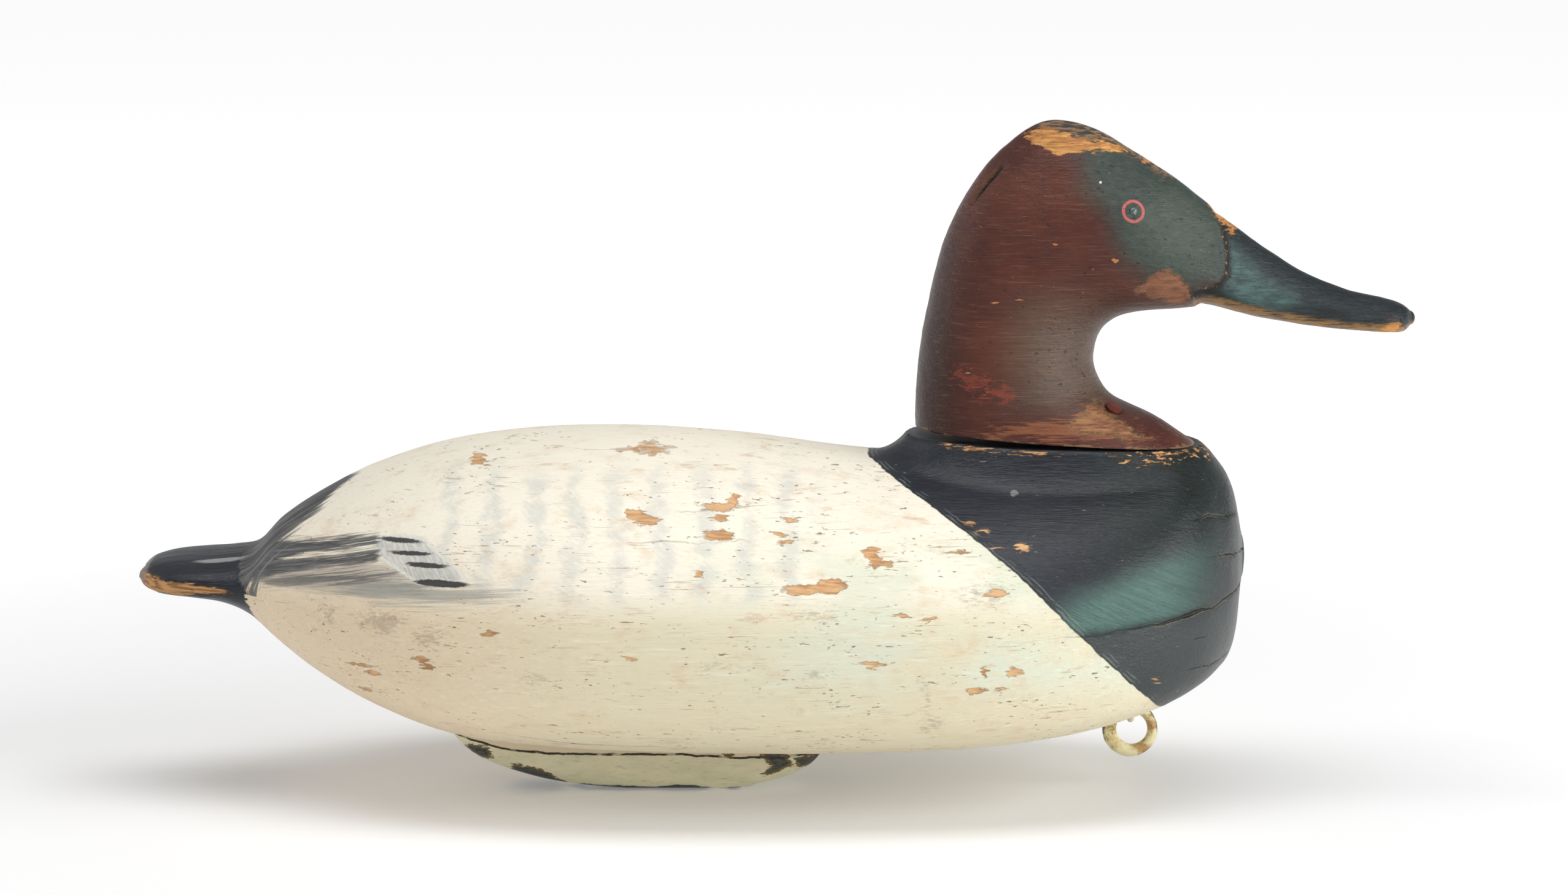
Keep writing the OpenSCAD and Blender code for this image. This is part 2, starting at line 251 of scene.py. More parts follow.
def skin_mesh(name, points, quads, caps=()):
    """A mesh of quads and end caps whose faces look outwards."""
    mesh = bpy.data.meshes.new(name)
    mesh.from_pydata(points, [], [*quads.tolist(), *caps])
    mesh.update()
    if signed_volume(points, quads) < 0:
        mesh.flip_normals()
    return mesh


def tube_mesh(name, rings, cad_node, relief, fields):
    """A closed tube of rings as a mesh that fills the box of a CAD node.

    relief gives how far each point stands out of the skin, in mm, and fields gives
    the named values that the material reads at each point.
    """
    count, sides = rings.shape[:2]
    points = rings.reshape(-1, 3)
    index = np.arange(count * sides).reshape(count, sides)
    after = np.roll(index, -1, axis=1)
    quads = np.stack([index[:-1], after[:-1], after[1:], index[1:]], axis=-1).reshape(-1, 4)
    low, high = (np.array(corner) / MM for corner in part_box(cad_node))
    points = (points - points.min(axis=0)) / np.ptp(points, axis=0) * (high - low) + low

    mesh = skin_mesh(name, points, quads, (index[0][::-1].tolist(), index[-1].tolist()))
    normals = np.empty(len(points) * 3)
    mesh.vertex_normals.foreach_get("vector", normals)
    normals = normals.reshape(-1, 3)
    moved = points + normals * relief(points, normals)[:, None]
    mesh.vertices.foreach_set("co", (moved * MM).ravel())
    for field, values in fields(points, normals).items():
        attribute = mesh.attributes.new(field, "FLOAT", "POINT")
        attribute.data.foreach_set("value", np.asarray(values, np.float32))
    return mesh


def place_piece(mesh, body, slot, material, *nodes):
    """Makes a piece of a mesh, on its body, with its finish and the CAD nodes that it stands for."""
    mesh.polygons.foreach_set("use_smooth", np.ones(len(mesh.polygons), bool))
    mesh.materials.append(material)
    mesh.update()
    piece = bpy.data.objects.new(mesh.name, mesh)
    bpy.context.scene.collection.objects.link(piece)
    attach(piece, body)
    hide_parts(*nodes)


# ---- Materials ----

def srgb(red, green, blue):
    """A colour from 0 to 255 as the linear colour that a shader takes."""
    def linear(value):
        share = value / 255
        return share / 12.92 if share <= 0.04045 else ((share + 0.055) / 1.055) ** 2.4
    return (linear(red), linear(green), linear(blue), 1)


class Paint:
    """A material's node graph, with short calls for the nodes that it is made of.

    A value is a number, the result of another call, or the name of a field of the mesh.
    A colour is the result of a call, or red, green and blue from 0 to 255.
    """

    def __init__(self, name):
        self.material = bpy.data.materials.new(name)
        self.material.use_nodes = True
        self.tree = self.material.node_tree
        self.place = self.vector("SCALE", self.node("TexCoord", {})["Object"], scale=1 / MM)

    def node(self, kind, values, **settings):
        """The outputs of a new node with these values at its inputs."""
        node = self.tree.nodes.new("ShaderNode" + kind)
        for key, setting in settings.items():
            setattr(node, key, setting)
        self.put(node, values)
        return node.outputs

    def put(self, node, values):
        """Gives a node's inputs their values: a field's is read from the mesh."""
        for key, value in values.items():
            if isinstance(value, str):
                value = self.node("Attribute", {}, attribute_name=value)["Fac"]
            if isinstance(value, bpy.types.NodeSocket):
                self.tree.links.new(value, node.inputs[key])
            elif value is not None:
                node.inputs[key].default_value = value

    def vector(self, operation, a, b=None, scale=None):
        """A vector sum; lengths come out as a number."""
        values = {0: a, 1: b} if scale is None else {0: a, "Scale": scale}
        outputs = self.node("VectorMath", values, operation=operation)
        return outputs["Value" if operation == "LENGTH" else "Vector"]

    def math(self, operation, a, b=0, c=0):
        """A sum of numbers."""
        return self.node("Math", {0: a, 1: b, 2: c}, operation=operation)[0]

    def add(self, a, b):
        return self.math("ADD", a, b)

    def minus(self, a, b):
        return self.math("SUBTRACT", a, b)

    def times(self, *values):
        return reduce(lambda a, b: self.math("MULTIPLY", a, b), values)

    def larger(self, a, b):
        return self.math("MAXIMUM", a, b)

    def total(self, *terms):
        """The sum of some values, each times its factor."""
        return reduce(self.add, [self.times(value, factor) for value, factor in terms])

    def step(self, value, low, high, end=1, start=0):
        """A smooth step from start to end as the value goes from low to high."""
        values = {"Value": value, "From Min": low, "From Max": high, "To Min": start, "To Max": end}
        return self.node("MapRange", values, interpolation_type="SMOOTHSTEP")["Result"]

    def ragged(self, value, noise, reach, low, high, end=1):
        """A step from 0 to end whose edge is shaken by noise."""
        return self.step(self.shaken(value, noise, reach), low, high, end)

    def band(self, value, middle, width):
        """1 where the value is near the middle, 0 where it is half the width or more away."""
        return self.step(self.math("ABSOLUTE", self.minus(value, middle)), width / 2, width / 4)

    def noise(self, cell, detail=3, roughness=0.55, place=None, output="Fac"):
        """Noise about 0.5, with grains of the size cell along x, y and z, in mm."""
        grains = self.vector("DIVIDE", self.place if place is None else place, cell)
        values = {"Vector": grains, "Scale": 1, "Detail": detail, "Roughness": roughness}
        return self.node("TexNoise", values)[output]

    def streaks(self, degrees, cell, detail=4, roughness=0.65):
        """Noise about 0.5 whose long grains rise towards +X by an angle."""
        values = {"Vector": self.place, "Angle": math.radians(degrees)}
        turned = self.node("VectorRotate", values, rotation_type="Y_AXIS")["Vector"]
        return self.noise(cell, detail, roughness, turned)

    def shaken(self, value, noise, reach):
        """A value with noise about 0.5 added to it: reach is how far."""
        return self.math("MULTIPLY_ADD", self.minus(noise, 0.5), reach, value)

    def warped(self, cell, reach, start=None):
        """The start, or else the place, shaken by noise: reach is how far, along x, y and z."""
        shake = self.vector("SUBTRACT", self.noise(cell, output="Color"), (0.5, 0.5, 0.5))
        shift = self.vector("MULTIPLY", shake, reach)
        return self.vector("ADD", self.place if start is None else start, shift)

    def distance(self, a, b):
        return self.vector("LENGTH", self.vector("SUBTRACT", a, b))

    def blobs(self, blobs, place):
        """How deep a place is in the deepest of some ellipsoids, in mm."""
        best = -100
        for centre, half in blobs:
            off = self.vector("SUBTRACT", place, centre)
            reach = self.vector("LENGTH", self.vector("DIVIDE", off, half))
            best = self.larger(self.math("MULTIPLY_ADD", reach, -min(half), min(half)), best)
        return best

    def mix(self, share, a, b):
        """Colour a turning into colour b as the share goes from 0 to 1."""
        a, b = (srgb(*colour) if isinstance(colour, tuple) else colour for colour in (a, b))
        return self.node("Mix", {0: share, 6: a, 7: b}, data_type="RGBA")[2]

    def coats(self, colour, *coats):
        """A colour under coats in turn: each has its share, its colour and perhaps a factor."""
        for share, coat, *factor in coats:
            colour = self.mix(self.times(share, *factor), colour, coat)
        return colour

    def shade(self, values):
        """The material, with these values at its shader's inputs."""
        self.put(self.tree.nodes["Principled BSDF"], values)
        return self.material

    def finish(self, colour, roughness, height, metallic=0, specular=0.5):
        """The material, with its colour and gloss; height is the relief in mm."""
        normal = self.node("Bump", {"Strength": 1, "Distance": MM, "Height": height})["Normal"]
        return self.shade({"Base Color": colour, "Roughness": roughness, "Metallic": metallic,
                           "Specular IOR Level": specular, "Normal": normal})


def bare_wood(p):
    """Old bare wood with its grain along x."""
    grain = p.noise((14, 0.8, 0.8), 4)
    patches = p.noise((9, 5, 4), 2)
    return p.mix(p.step(p.add(grain, patches), 0.8, 1.25), (214, 172, 126), (176, 128, 86))


# ---- Body ----

# Rows of the body: x, height of the back, height of the belly, half the width,
# squareness of the upper and of the lower half of the section. part.scad has the same.
BODY_ROWS = [
    [-197.5, 69.3, 66.3, 10, 2.4, 2.2],
    [-196, 71.1, 64.6, 15.5, 2.4, 2.2],
    [-193.5, 72.4, 63.4, 20.5, 2.4, 2.2],
    [-188, 73.5, 62.3, 25, 2.5, 2.2],
    [-180, 74.3, 61.4, 27.5, 2.5, 2.2],
    [-170, 75.1, 59.4, 28.5, 2.5, 2.1],
    [-162, 77, 55.4, 31, 2.4, 2.1],
    [-154, 85, 48.3, 40, 2.1, 2.1],
    [-142, 92.8, 39.2, 51, 2, 2.2],
    [-125, 101.2, 30.2, 63.5, 2, 2.4],
    [-100, 108.8, 22.4, 74, 2, 2.8],
    [-70, 112.4, 18.3, 80.5, 2, 2.8],
    [-42, 112.8, 16.9, 82.5, 2, 2.8],
    [-10, 110.2, 16.7, 82.5, 2, 2.9],
    [25, 105.8, 17, 81, 2, 3],
    [60, 103.8, 19.1, 77, 2, 3.3],
    [90, 104.4, 23.6, 69, 2.05, 4],
    [112, 105.8, 29.2, 59, 2.1, 4.4],
    [127, 106.4, 34.4, 47, 2.15, 3.9],
    [136, 101, 39.2, 35, 2.1, 3.1],
    [141.5, 93.6, 46.6, 23, 2.1, 2.3],
    [144.5, 79.8, 66, 8, 2, 2],
]
BELT = 0.47
SHELF_REAR = (42.6, 111.4)
SHELF_FRONT = (129.4, 108.4)
NECK_HALF_WIDTH = 29
NECK_SQUARENESS = 2.3
SHELF_MARGIN = 1.6
SHELF_BLEND = 9
SHELF_BLEND_POWER = 2.4


def shelf_height(x):
    """Height of the neck shelf's flat top."""
    share = (x - SHELF_REAR[0]) / (SHELF_FRONT[0] - SHELF_REAR[0])
    return SHELF_REAR[1] + (SHELF_FRONT[1] - SHELF_REAR[1]) * share


def outside_neck(x, y):
    """How far a place in plan lies outside the neck's foot."""
    middle = (SHELF_REAR[0] + SHELF_FRONT[0]) / 2
    half = (SHELF_FRONT[0] - SHELF_REAR[0]) / 2
    u = np.abs(x - middle) / half
    v = np.abs(y) / NECK_HALF_WIDTH
    reach = (u ** NECK_SQUARENESS + v ** NECK_SQUARENESS) ** (1 / NECK_SQUARENESS)
    return (reach - 1) * NECK_HALF_WIDTH


def body_section(stations):
    """A function that gives points of the body's skin at angles round each station."""
    rows = curve(BODY_ROWS, stations)
    x, top, bottom, half, upper, lower = (rows[:, k, None] for k in range(6))
    x = np.asarray(stations, float)[:, None]
    belt = bottom + (top - bottom) * BELT

    def section(angles):
        a = np.radians(angles)
        up = np.sin(a) > 0
        squareness = np.where(up, upper, lower)
        y = half * signed_power(np.cos(a), squareness)
        reach = np.where(up, top - belt, belt - bottom)
        z = belt + reach * signed_power(np.sin(a), squareness)
        margin = np.clip((outside_neck(x, y) - SHELF_MARGIN) / SHELF_BLEND, 0, 1)
        share = (1 - margin) ** SHELF_BLEND_POWER
        lift = np.where(up, np.maximum(shelf_height(x) - z, 0) * share, 0)
        return np.stack([x + 0 * y, y, z + lift], axis=-1)
    return section


def body_stations():
    """Places along the body: even, and close together at both ends."""
    tail, breast = BODY_ROWS[0][0], BODY_ROWS[-1][0]
    even = np.arange(-194, 137, 1.08)
    rear = tail + (even[0] - tail) * np.linspace(0, 1, 8)[:-1] ** 1.6
    front = breast - (breast - even[-1]) * np.linspace(1, 0, 20)[1:] ** 1.7
    return np.concatenate([rear, even, front])


# Chips down to the wood on the near side: x, z, length and height
NEAR_CHIPS = [
    (-38.6, 111.2, 4.6, 0.7), (-40, 110.1, 15, 1), (-36.8, 109.3, 7, 0.7),
    (-42, 95.3, 6, 2.8), (-38.6, 93.7, 7, 2.6), (-16.6, 96.9, 12, 2), (-12.6, 98.7, 3.4, 3.2),
    (-17.4, 94.2, 5.4, 1.7), (-17.4, 89.8, 8.4, 2.7), (3.9, 93.2, 3.2, 0.9), (0.5, 89.9, 3.2, 1.2),
    (2.1, 87.9, 4.6, 1.5), (8.4, 75.2, 14, 2.6), (15.8, 76, 9.4, 3.8), (-22.7, 80, 2.2, 1.9),
    (27.2, 84.6, 4.6, 2.8), (29.4, 82.6, 4.2, 3.2), (31.6, 81.7, 5.4, 1.5), (54, 84.2, 5.6, 0.9),
    (64.7, 73.3, 6, 2.1), (37, 67.6, 4.8, 1.1), (44.4, 66.6, 3.6, 1.1), (29.2, 53.8, 6.2, 1),
    (28, 53, 2.4, 2.4), (60.8, 50.4, 1.7, 3.2), (70, 50, 4.2, 2.9), (58.9, 44.7, 5.6, 1.8),
    (65.6, 45, 2.2, 1.1), (-90.5, 107, 5.4, 3), (-84.7, 62.4, 4.4, 1.9), (-105.6, 53.3, 4, 2.2),
    (-103.6, 51.4, 3.6, 2.4), (-124, 49.6, 7, 0.9), (-120.8, 47.4, 5.4, 1.3), (-123.7, 40.6, 3.4, 1.3),
    (-43.4, 55.6, 2.6, 1.7),
]
# Chips through the black paint to pale undercoat and wood: x, z, length and height
BLACK_CHIPS = [
    (72.4, 85.1, 3.8, 2.3), (57.3, 91.3, 4.2, 1.1), (61.6, 89.3, 3.6, 1), (66, 85.1, 3.8, 0.6),
    (113.2, 44.6, 1.3, 0.9), (114.2, 43, 1.2, 0.6),
]
# Cracks on the near side: points (x, z, half width)
CRACKS = [
    [(76, 59, 0.05), (89, 60, 0.14), (96, 59.7, 0.12), (112, 61, 0.18), (117, 61.6, 0.5), (126, 63, 0.62),
     (130, 63.2, 0.25), (139, 66, 0.3), (143, 67, 0.1)],
    [(124, 90, 0.04), (130, 91, 0.25), (141, 88, 0.15)],
    [(128, 79.6, 0.04), (136, 78.4, 0.28), (144, 76.4, 0.2)],
    [(124, 55, 0.04), (128, 55.4, 0.25), (131, 56, 0.04)],
    [(120, 46, 0.04), (130, 45, 0.28), (138, 46, 0.2)],
    [(-52, 88.2, 0.02), (-37, 88.9, 0.14), (-23, 88.1, 0.1), (-12, 88.6, 0.12), (0, 88.1, 0.02)],
    [(-34, 96.2, 0.02), (-28, 95.6, 0.13), (-20, 96, 0.1)],
    [(-16, 78.4, 0.02), (4, 78.6, 0.1)],
    [(-110, 33, 0.02), (-60, 25.5, 0.16), (-20, 24, 0.1), (20, 24.6, 0.02)],
]


def wide_blobs(spots, side, reach=70):
    """Side-view spots (x, z, length, height) as ellipsoids that reach through one side."""
    return [((x, side * reach, z), (length / 2, reach, height / 2)) for x, z, length, height in spots]


def scattered_chips(count, seed):
    """Chips of the far side, strewn over its cream part."""
    random = np.random.default_rng(seed)
    spots = []
    for _ in range(count):
        x = round(random.uniform(-130, 55), 1)
        z = round(random.uniform(36, 106), 1)
        length = round(random.uniform(2, 12) * random.uniform(0.4, 1), 1)
        spots.append((x, z, length, round(max(length * random.uniform(0.22, 0.5), 1), 1)))
    return spots


# Outlines in the side view, as points (x, z): the wing-tip feathers, and the tail's rubbed edge
FEATHERS = [(-121, 85), (-119.6, 87.4), (-112, 88.4), (-105, 88.2), (-101, 85), (-96, 81.8), (-91, 77),
            (-98, 75.2), (-106, 75.2), (-113, 78.8), (-118, 81.4)]
TAIL_WEAR = [(-202, 71.2), (-195, 70.8), (-188, 69.4), (-178, 68.2), (-171, 67.4), (-166, 66.2),
             (-171, 65.2), (-180, 64.4), (-188, 64.4), (-195, 63), (-202, 63)]

BODY_CHIPS = wide_blobs(NEAR_CHIPS, -1) + wide_blobs(scattered_chips(22, 5), 1)
BREAST_CHIPS = wide_blobs(BLACK_CHIPS, -1)
# Brush strokes of the rump and the side, in the side view: points (x, z, half width)
STROKES = {
    "bands": [
        [(-160, 76.5, 4), (-152, 79, 3.2), (-141, 82.3, 1.9), (-130, 84.7, 1.6), (-119.5, 86.4, 1)],
        [(-160, 73, 3), (-148, 76.4, 2.2), (-139, 78.4, 1.4), (-132, 79.8, 1.3), (-119, 82.3, 1.6)],
    ],
    "third": [[(-156, 70.5, 1.5), (-142, 73.5, 2.4), (-128, 75.5, 1.6), (-114, 76.3, 1)]],
    "smear": [[(-131, 73, 1), (-118, 72.5, 3.4), (-104, 73.2, 3.8), (-92, 73.4, 3), (-76, 74, 0.6)]],
    "wash": [[(-158, 73, 4), (-146, 74, 5), (-128, 76, 5.5), (-116, 77, 4), (-104, 74, 2)]],
}
# Centres and half sizes of the marks that the material draws: black quill strokes and brown smudges
QUILLS = [((-112.5, 0, 86.9), (7.6, 900, 0.8)), ((-108.8, 0, 83.7), (7.8, 900, 0.75)),
          ((-103.8, 0, 80.7), (7.2, 900, 0.85)), ((-99.2, 0, 76), (9.4, 900, 1.15))]
SMUDGES = [((44.5, -76, 44), (1.6, 30, 5)), ((45.5, -74, 34), (2.4, 30, 4)), ((-103, -72, 60), (5, 20, 3)),
           ((-134, -57, 65), (3, 20, 2.6)), ((-117, -66, 64), (8, 20, 4)), ((10, -80, 68.4), (6, 20, 2)),
           ((10.8, -81, 50.4), (5, 20, 2.2)), ((-18, -81, 52.8), (6, 20, 1.4)),
           ((-71.5, -78, 48.8), (6, 20, 2)), ((62, -74, 73), (10, 20, 3))]
# Half the width of the dark stripe on the rump, at places along it
RUMP_STRIPE = [(-162, 36), (-155, 33), (-149, 29.5), (-140, 24), (-134, 12), (-129, 0), (-120, -40)]
# Height of the crack across the breast: the painted highlight lies above it, the painted reflection of the
# floor below it
BREAST_CRACK = [(70, 58), (95, 59.5), (120, 61.5), (143, 66)]
COMB_SPACING = 12.7


def breast_edge(z):
    """x of the edge between the cream and the black paint, at a height."""
    return 149.5 - z - 14.7 * (np.maximum(z - 72, 0) / 32) ** 2


def crack_fields(points):
    """How far points lie above the nearest crack, and how wide it is there."""
    x, y, z = points.T
    nearest = np.full(len(points), 50)
    width = np.zeros(len(points))
    wander = 0.5 * rough(points, (4, 4, 4), 40, 2)
    for route in CRACKS:
        route = np.array(route)
        above = z - np.interp(x, route[:, 0], route[:, 1]) + wander
        half = np.interp(x, route[:, 0], route[:, 2], left=0, right=0)
        open_here = half * (y < 0) * (1 - smooth(2.5, 4, np.abs(above)))
        closer = (np.abs(above) < np.abs(nearest)) & (open_here > 0)
        nearest = np.where(closer, above, nearest)
        width = np.where(closer, open_here, width)
    return nearest, width


def body_relief(points, normals):
    """Carving, grain, chips and cracks in the body's skin."""
    x, _, z = points.T
    height = 0.28 * rough(points, (40, 30, 24), 1, 2)
    height += 0.05 * rough(points, (16, 2.4, 2.4), 2, 2)
    height -= 0.3 * smooth(-0.2, 0.6, blob_field(points, BODY_CHIPS + BREAST_CHIPS))
    offset, width = crack_fields(points)
    height -= 2.2 * width * np.exp(-(offset / np.maximum(width * 1.3, 0.05)) ** 2)
    height += 0.08 * np.exp(-((x - breast_edge(z) - 1.2) / 1.2) ** 2)
    rim = inside(points, TAIL_WEAR) + 0.8 * rough(points, (5, 4, 2.5), 9, 3)
    height -= 0.35 * smooth(-0.3, 0.7, rim)
    return height


def body_fields(points, normals):
    """Where the body's paints, strokes, wear and stains are, and where painted highlight, painted reflection
    and painted shade lie.
    """
    x, y, z = points.T
    side = np.abs(y)
    offset, width = crack_fields(points)
    over = z - level(BREAST_CRACK, x) + 0.8 * rough(points, (14, 14, 8), 14, 2)
    softness = 1.5 + 9 * smooth(112, 136, x)
    # Painted highlight on the black breast, just above its crack
    sheen = smooth(-0.5, 4, over) * smooth(19, 8, over - 0.2 * (x - 96))
    margin = outside_neck(x, side)
    below = shelf_height(x) - z
    shelf_rim = np.exp(-((margin - 1.8) / 1.6) ** 2) * smooth(3.4, 1.2, below)
    strokes = {name: np.max([stroke(points, route) for route in routes], axis=0)
               for name, routes in STROKES.items()}
    return strokes | {
        "breast": (x - breast_edge(z)) * 0.72,
        "tail": -(x + 162.3 + 0.3 * (z - 67)),
        "stripe": np.where(normals[:, 2] > 0, level(RUMP_STRIPE, x) - side, -20) * 0.3,
        "panel": inside(points, FEATHERS),
        "comb": smooth(-112, -96, x) * smooth(20, 2, x) * smooth(68, 76, z) * smooth(110, 101, z),
        "rim": inside(points, TAIL_WEAR),
        "shelf_rim": shelf_rim * smooth(44, 52, x) * (0.75 + 0.25 * smooth(96, 80, x)),
        "flecks": smooth(96, 106, x) * smooth(9, 2, margin) * smooth(8, 3, below) * smooth(0, 1, margin),
        "warm": smooth(-40, -130, x) * smooth(95, 60, z),
        "green": smooth(-60, 40, x) * smooth(100, 78, z) * smooth(32, 52, z),
        # Painted shade: the cream is darker towards the bottom
        "low": smooth(78, 62, z),
        "sheen": sheen * smooth(78, 92, x) * smooth(138, 112, x),
        # Painted shade: the black is darker towards the front of the breast
        "front": smooth(84, 112, x),
        # Painted reflection of the floor: lighter grey on the black below the breast's crack
        "grey": smooth(softness, -softness, over),
        "crack": offset,
        "gape": width,
    }


def cream_paint(p, brush, fine, cloud, speckle, crowd, gouges):
    """Cream paint with its tones, faint combed bands high up, ticks, scuffs and smudges, and painted shade
    that darkens it towards the bottom.
    """
    along = p.node("SeparateXYZ", {0: p.place})["X"]
    bent = p.shaken(along, p.noise((30, 30, 14), 2), 15)
    wave = p.math("SINE", p.times(bent, 2 * math.pi / COMB_SPACING))
    dabs = p.shaken(p.times(wave, 0.5), p.noise((7, 7, 5), 4, 0.65), 2.8)
    combed = p.ragged(dabs, p.streaks(-35, (5, 4, 0.7), 3), 1.3, -0.3, 0.9)
    smudge = p.blobs(SMUDGES, p.warped((5, 5, 3), (12, 0, 8)))
    hairlines = p.minus(p.noise((18, 8, 0.45), 2), crowd)
    return p.coats(
        # Painted shade: darker, yellower cream towards the bottom
        p.mix("low", (238, 231, 214), (220, 210, 181)),
        ("warm", (228, 206, 175), 0.75),
        (p.times("green", p.step(cloud, 0.35, 0.65)), (213, 216, 194)),
        (p.step(p.noise((11, 9, 6), 4, 0.65), 0.51, 0.74, 0.45), (212, 186, 152)),
        (p.step(brush, 0.52, 0.8, 0.5), (242, 238, 226)),
        (p.step(fine, 0.52, 0.82, 0.4), (188, 170, 140)),
        (p.times(combed, "comb"), (192, 195, 190), 0.55),
        (p.step(p.minus(speckle, crowd), 0.70, 0.74), (122, 104, 82), 0.6),
        (gouges, (122, 98, 74), 0.8),
        (p.step(hairlines, 0.66, 0.70), (134, 112, 86), 0.45),
        (p.step(p.noise((12, 7, 3), 5, 0.75), 0.58, 0.70, 0.5), (196, 164, 132)),
        (p.ragged(smudge, p.noise((2.4, 1.2, 0.6), 4, 0.7), 15, 0, 2.6, 0.36), (128, 112, 98)),
    )


def rump_paint(p, cream, fine):
    """Dry grey brush on the rump, the wing-tip feathers and the dark bands, over the cream."""
    hairs = p.streaks(12, (26, 60, 0.8), 4, 0.7)
    even = p.streaks(3, (26, 60, 0.8), 4, 0.7)
    steep = p.streaks(42, (26, 1.7, 9), 4, 0.7)
    panel = p.shaken("panel", fine, 1.2)
    barbs = p.step(p.streaks(-58, (7, 3, 0.6), 3, 0.6), 0.4, 0.62)
    quills = p.shaken(p.blobs(QUILLS, p.warped((9, 9, 5), (1, 0, 0.9))), fine, 0.6)
    bands = p.ragged("bands", hairs, 9, -1.1, 0.7)
    third = p.ragged("third", hairs, 9, -0.4, 1.6, 0.75)
    stripe = p.ragged("stripe", steep, 12, -0.8, 1.2)
    grain = p.add(p.times(steep, stripe), p.times(hairs, p.minus(1, stripe)))
    return p.coats(
        cream,
        (p.ragged("wash", even, 12, -2, 3.5, 0.6), (146, 138, 128)),
        (p.ragged("wash", hairs, 26, 3.4, 6, 0.7), (96, 94, 92)),
        (p.ragged("smear", even, 15, -2, 3, 0.8), (134, 138, 136), 0.85),
        (p.step(panel, -0.6, 0.7, 0.85), p.mix(barbs, (176, 178, 174), (206, 204, 196))),
        (p.band(panel, 0.5, 1.2), (232, 228, 216), 0.5),
        (p.step(quills, 0, 0.25, 0.95), (42, 42, 42)),
        (p.larger(p.larger(bands, third), stripe),
         p.mix(p.step(grain, 0.42, 0.66), (62, 63, 64), (116, 116, 114))),
    )


def black_paint(p, fine, cloud, speckle, crowd, ripples, edge):
    """Black paint of the breast and the tail, with specks and raised paint at its edge; painted light on it:
    a green-tinted painted highlight above the crack, a painted reflection of the floor below it, painted
    shade at the front and painted highlights along the edge.
    """
    # Pale lines along the edge of the black: painted highlights on the raised paint
    ridge_highlight = p.larger(p.band(edge, 0.9, 0.7), p.band(edge, 2.1, 0.5))
    nick = p.blobs([((71.4, -40, 98), (1.3, 30, 0.8))], p.warped((2, 2, 1), (1.5, 0, 1.5)))
    return p.coats(
        p.mix(p.step(cloud, 0.35, 0.7), (30, 32, 40), (37, 41, 48)),
        # Painted shade, darker towards the front of the breast
        ("front", (20, 28, 28)),
        # Painted highlight, tinted with the paint's green, above the breast's crack
        (p.times("sheen", p.step(ripples, 0.34, 0.62, 1, 0.68)), (74, 108, 99)),
        # Painted reflection of the floor, lighter grey below the crack
        ("grey", (58, 62, 62), 0.8),
        (p.step(fine, 0.5, 0.8, 0.3), (78, 92, 92)),
        (p.step(p.add(speckle, p.times(crowd, -0.5)), 0.74, 0.8, 0.7), (128, 136, 128)),
        # Painted highlights along the edge of the black
        (p.times(ridge_highlight, p.step(p.noise((6, 6, 6), 3), 0.42, 0.6)), (140, 150, 138), 0.3),
        (p.step(nick, -0.1, 0.2, 0.8), (120, 124, 118)),
    )


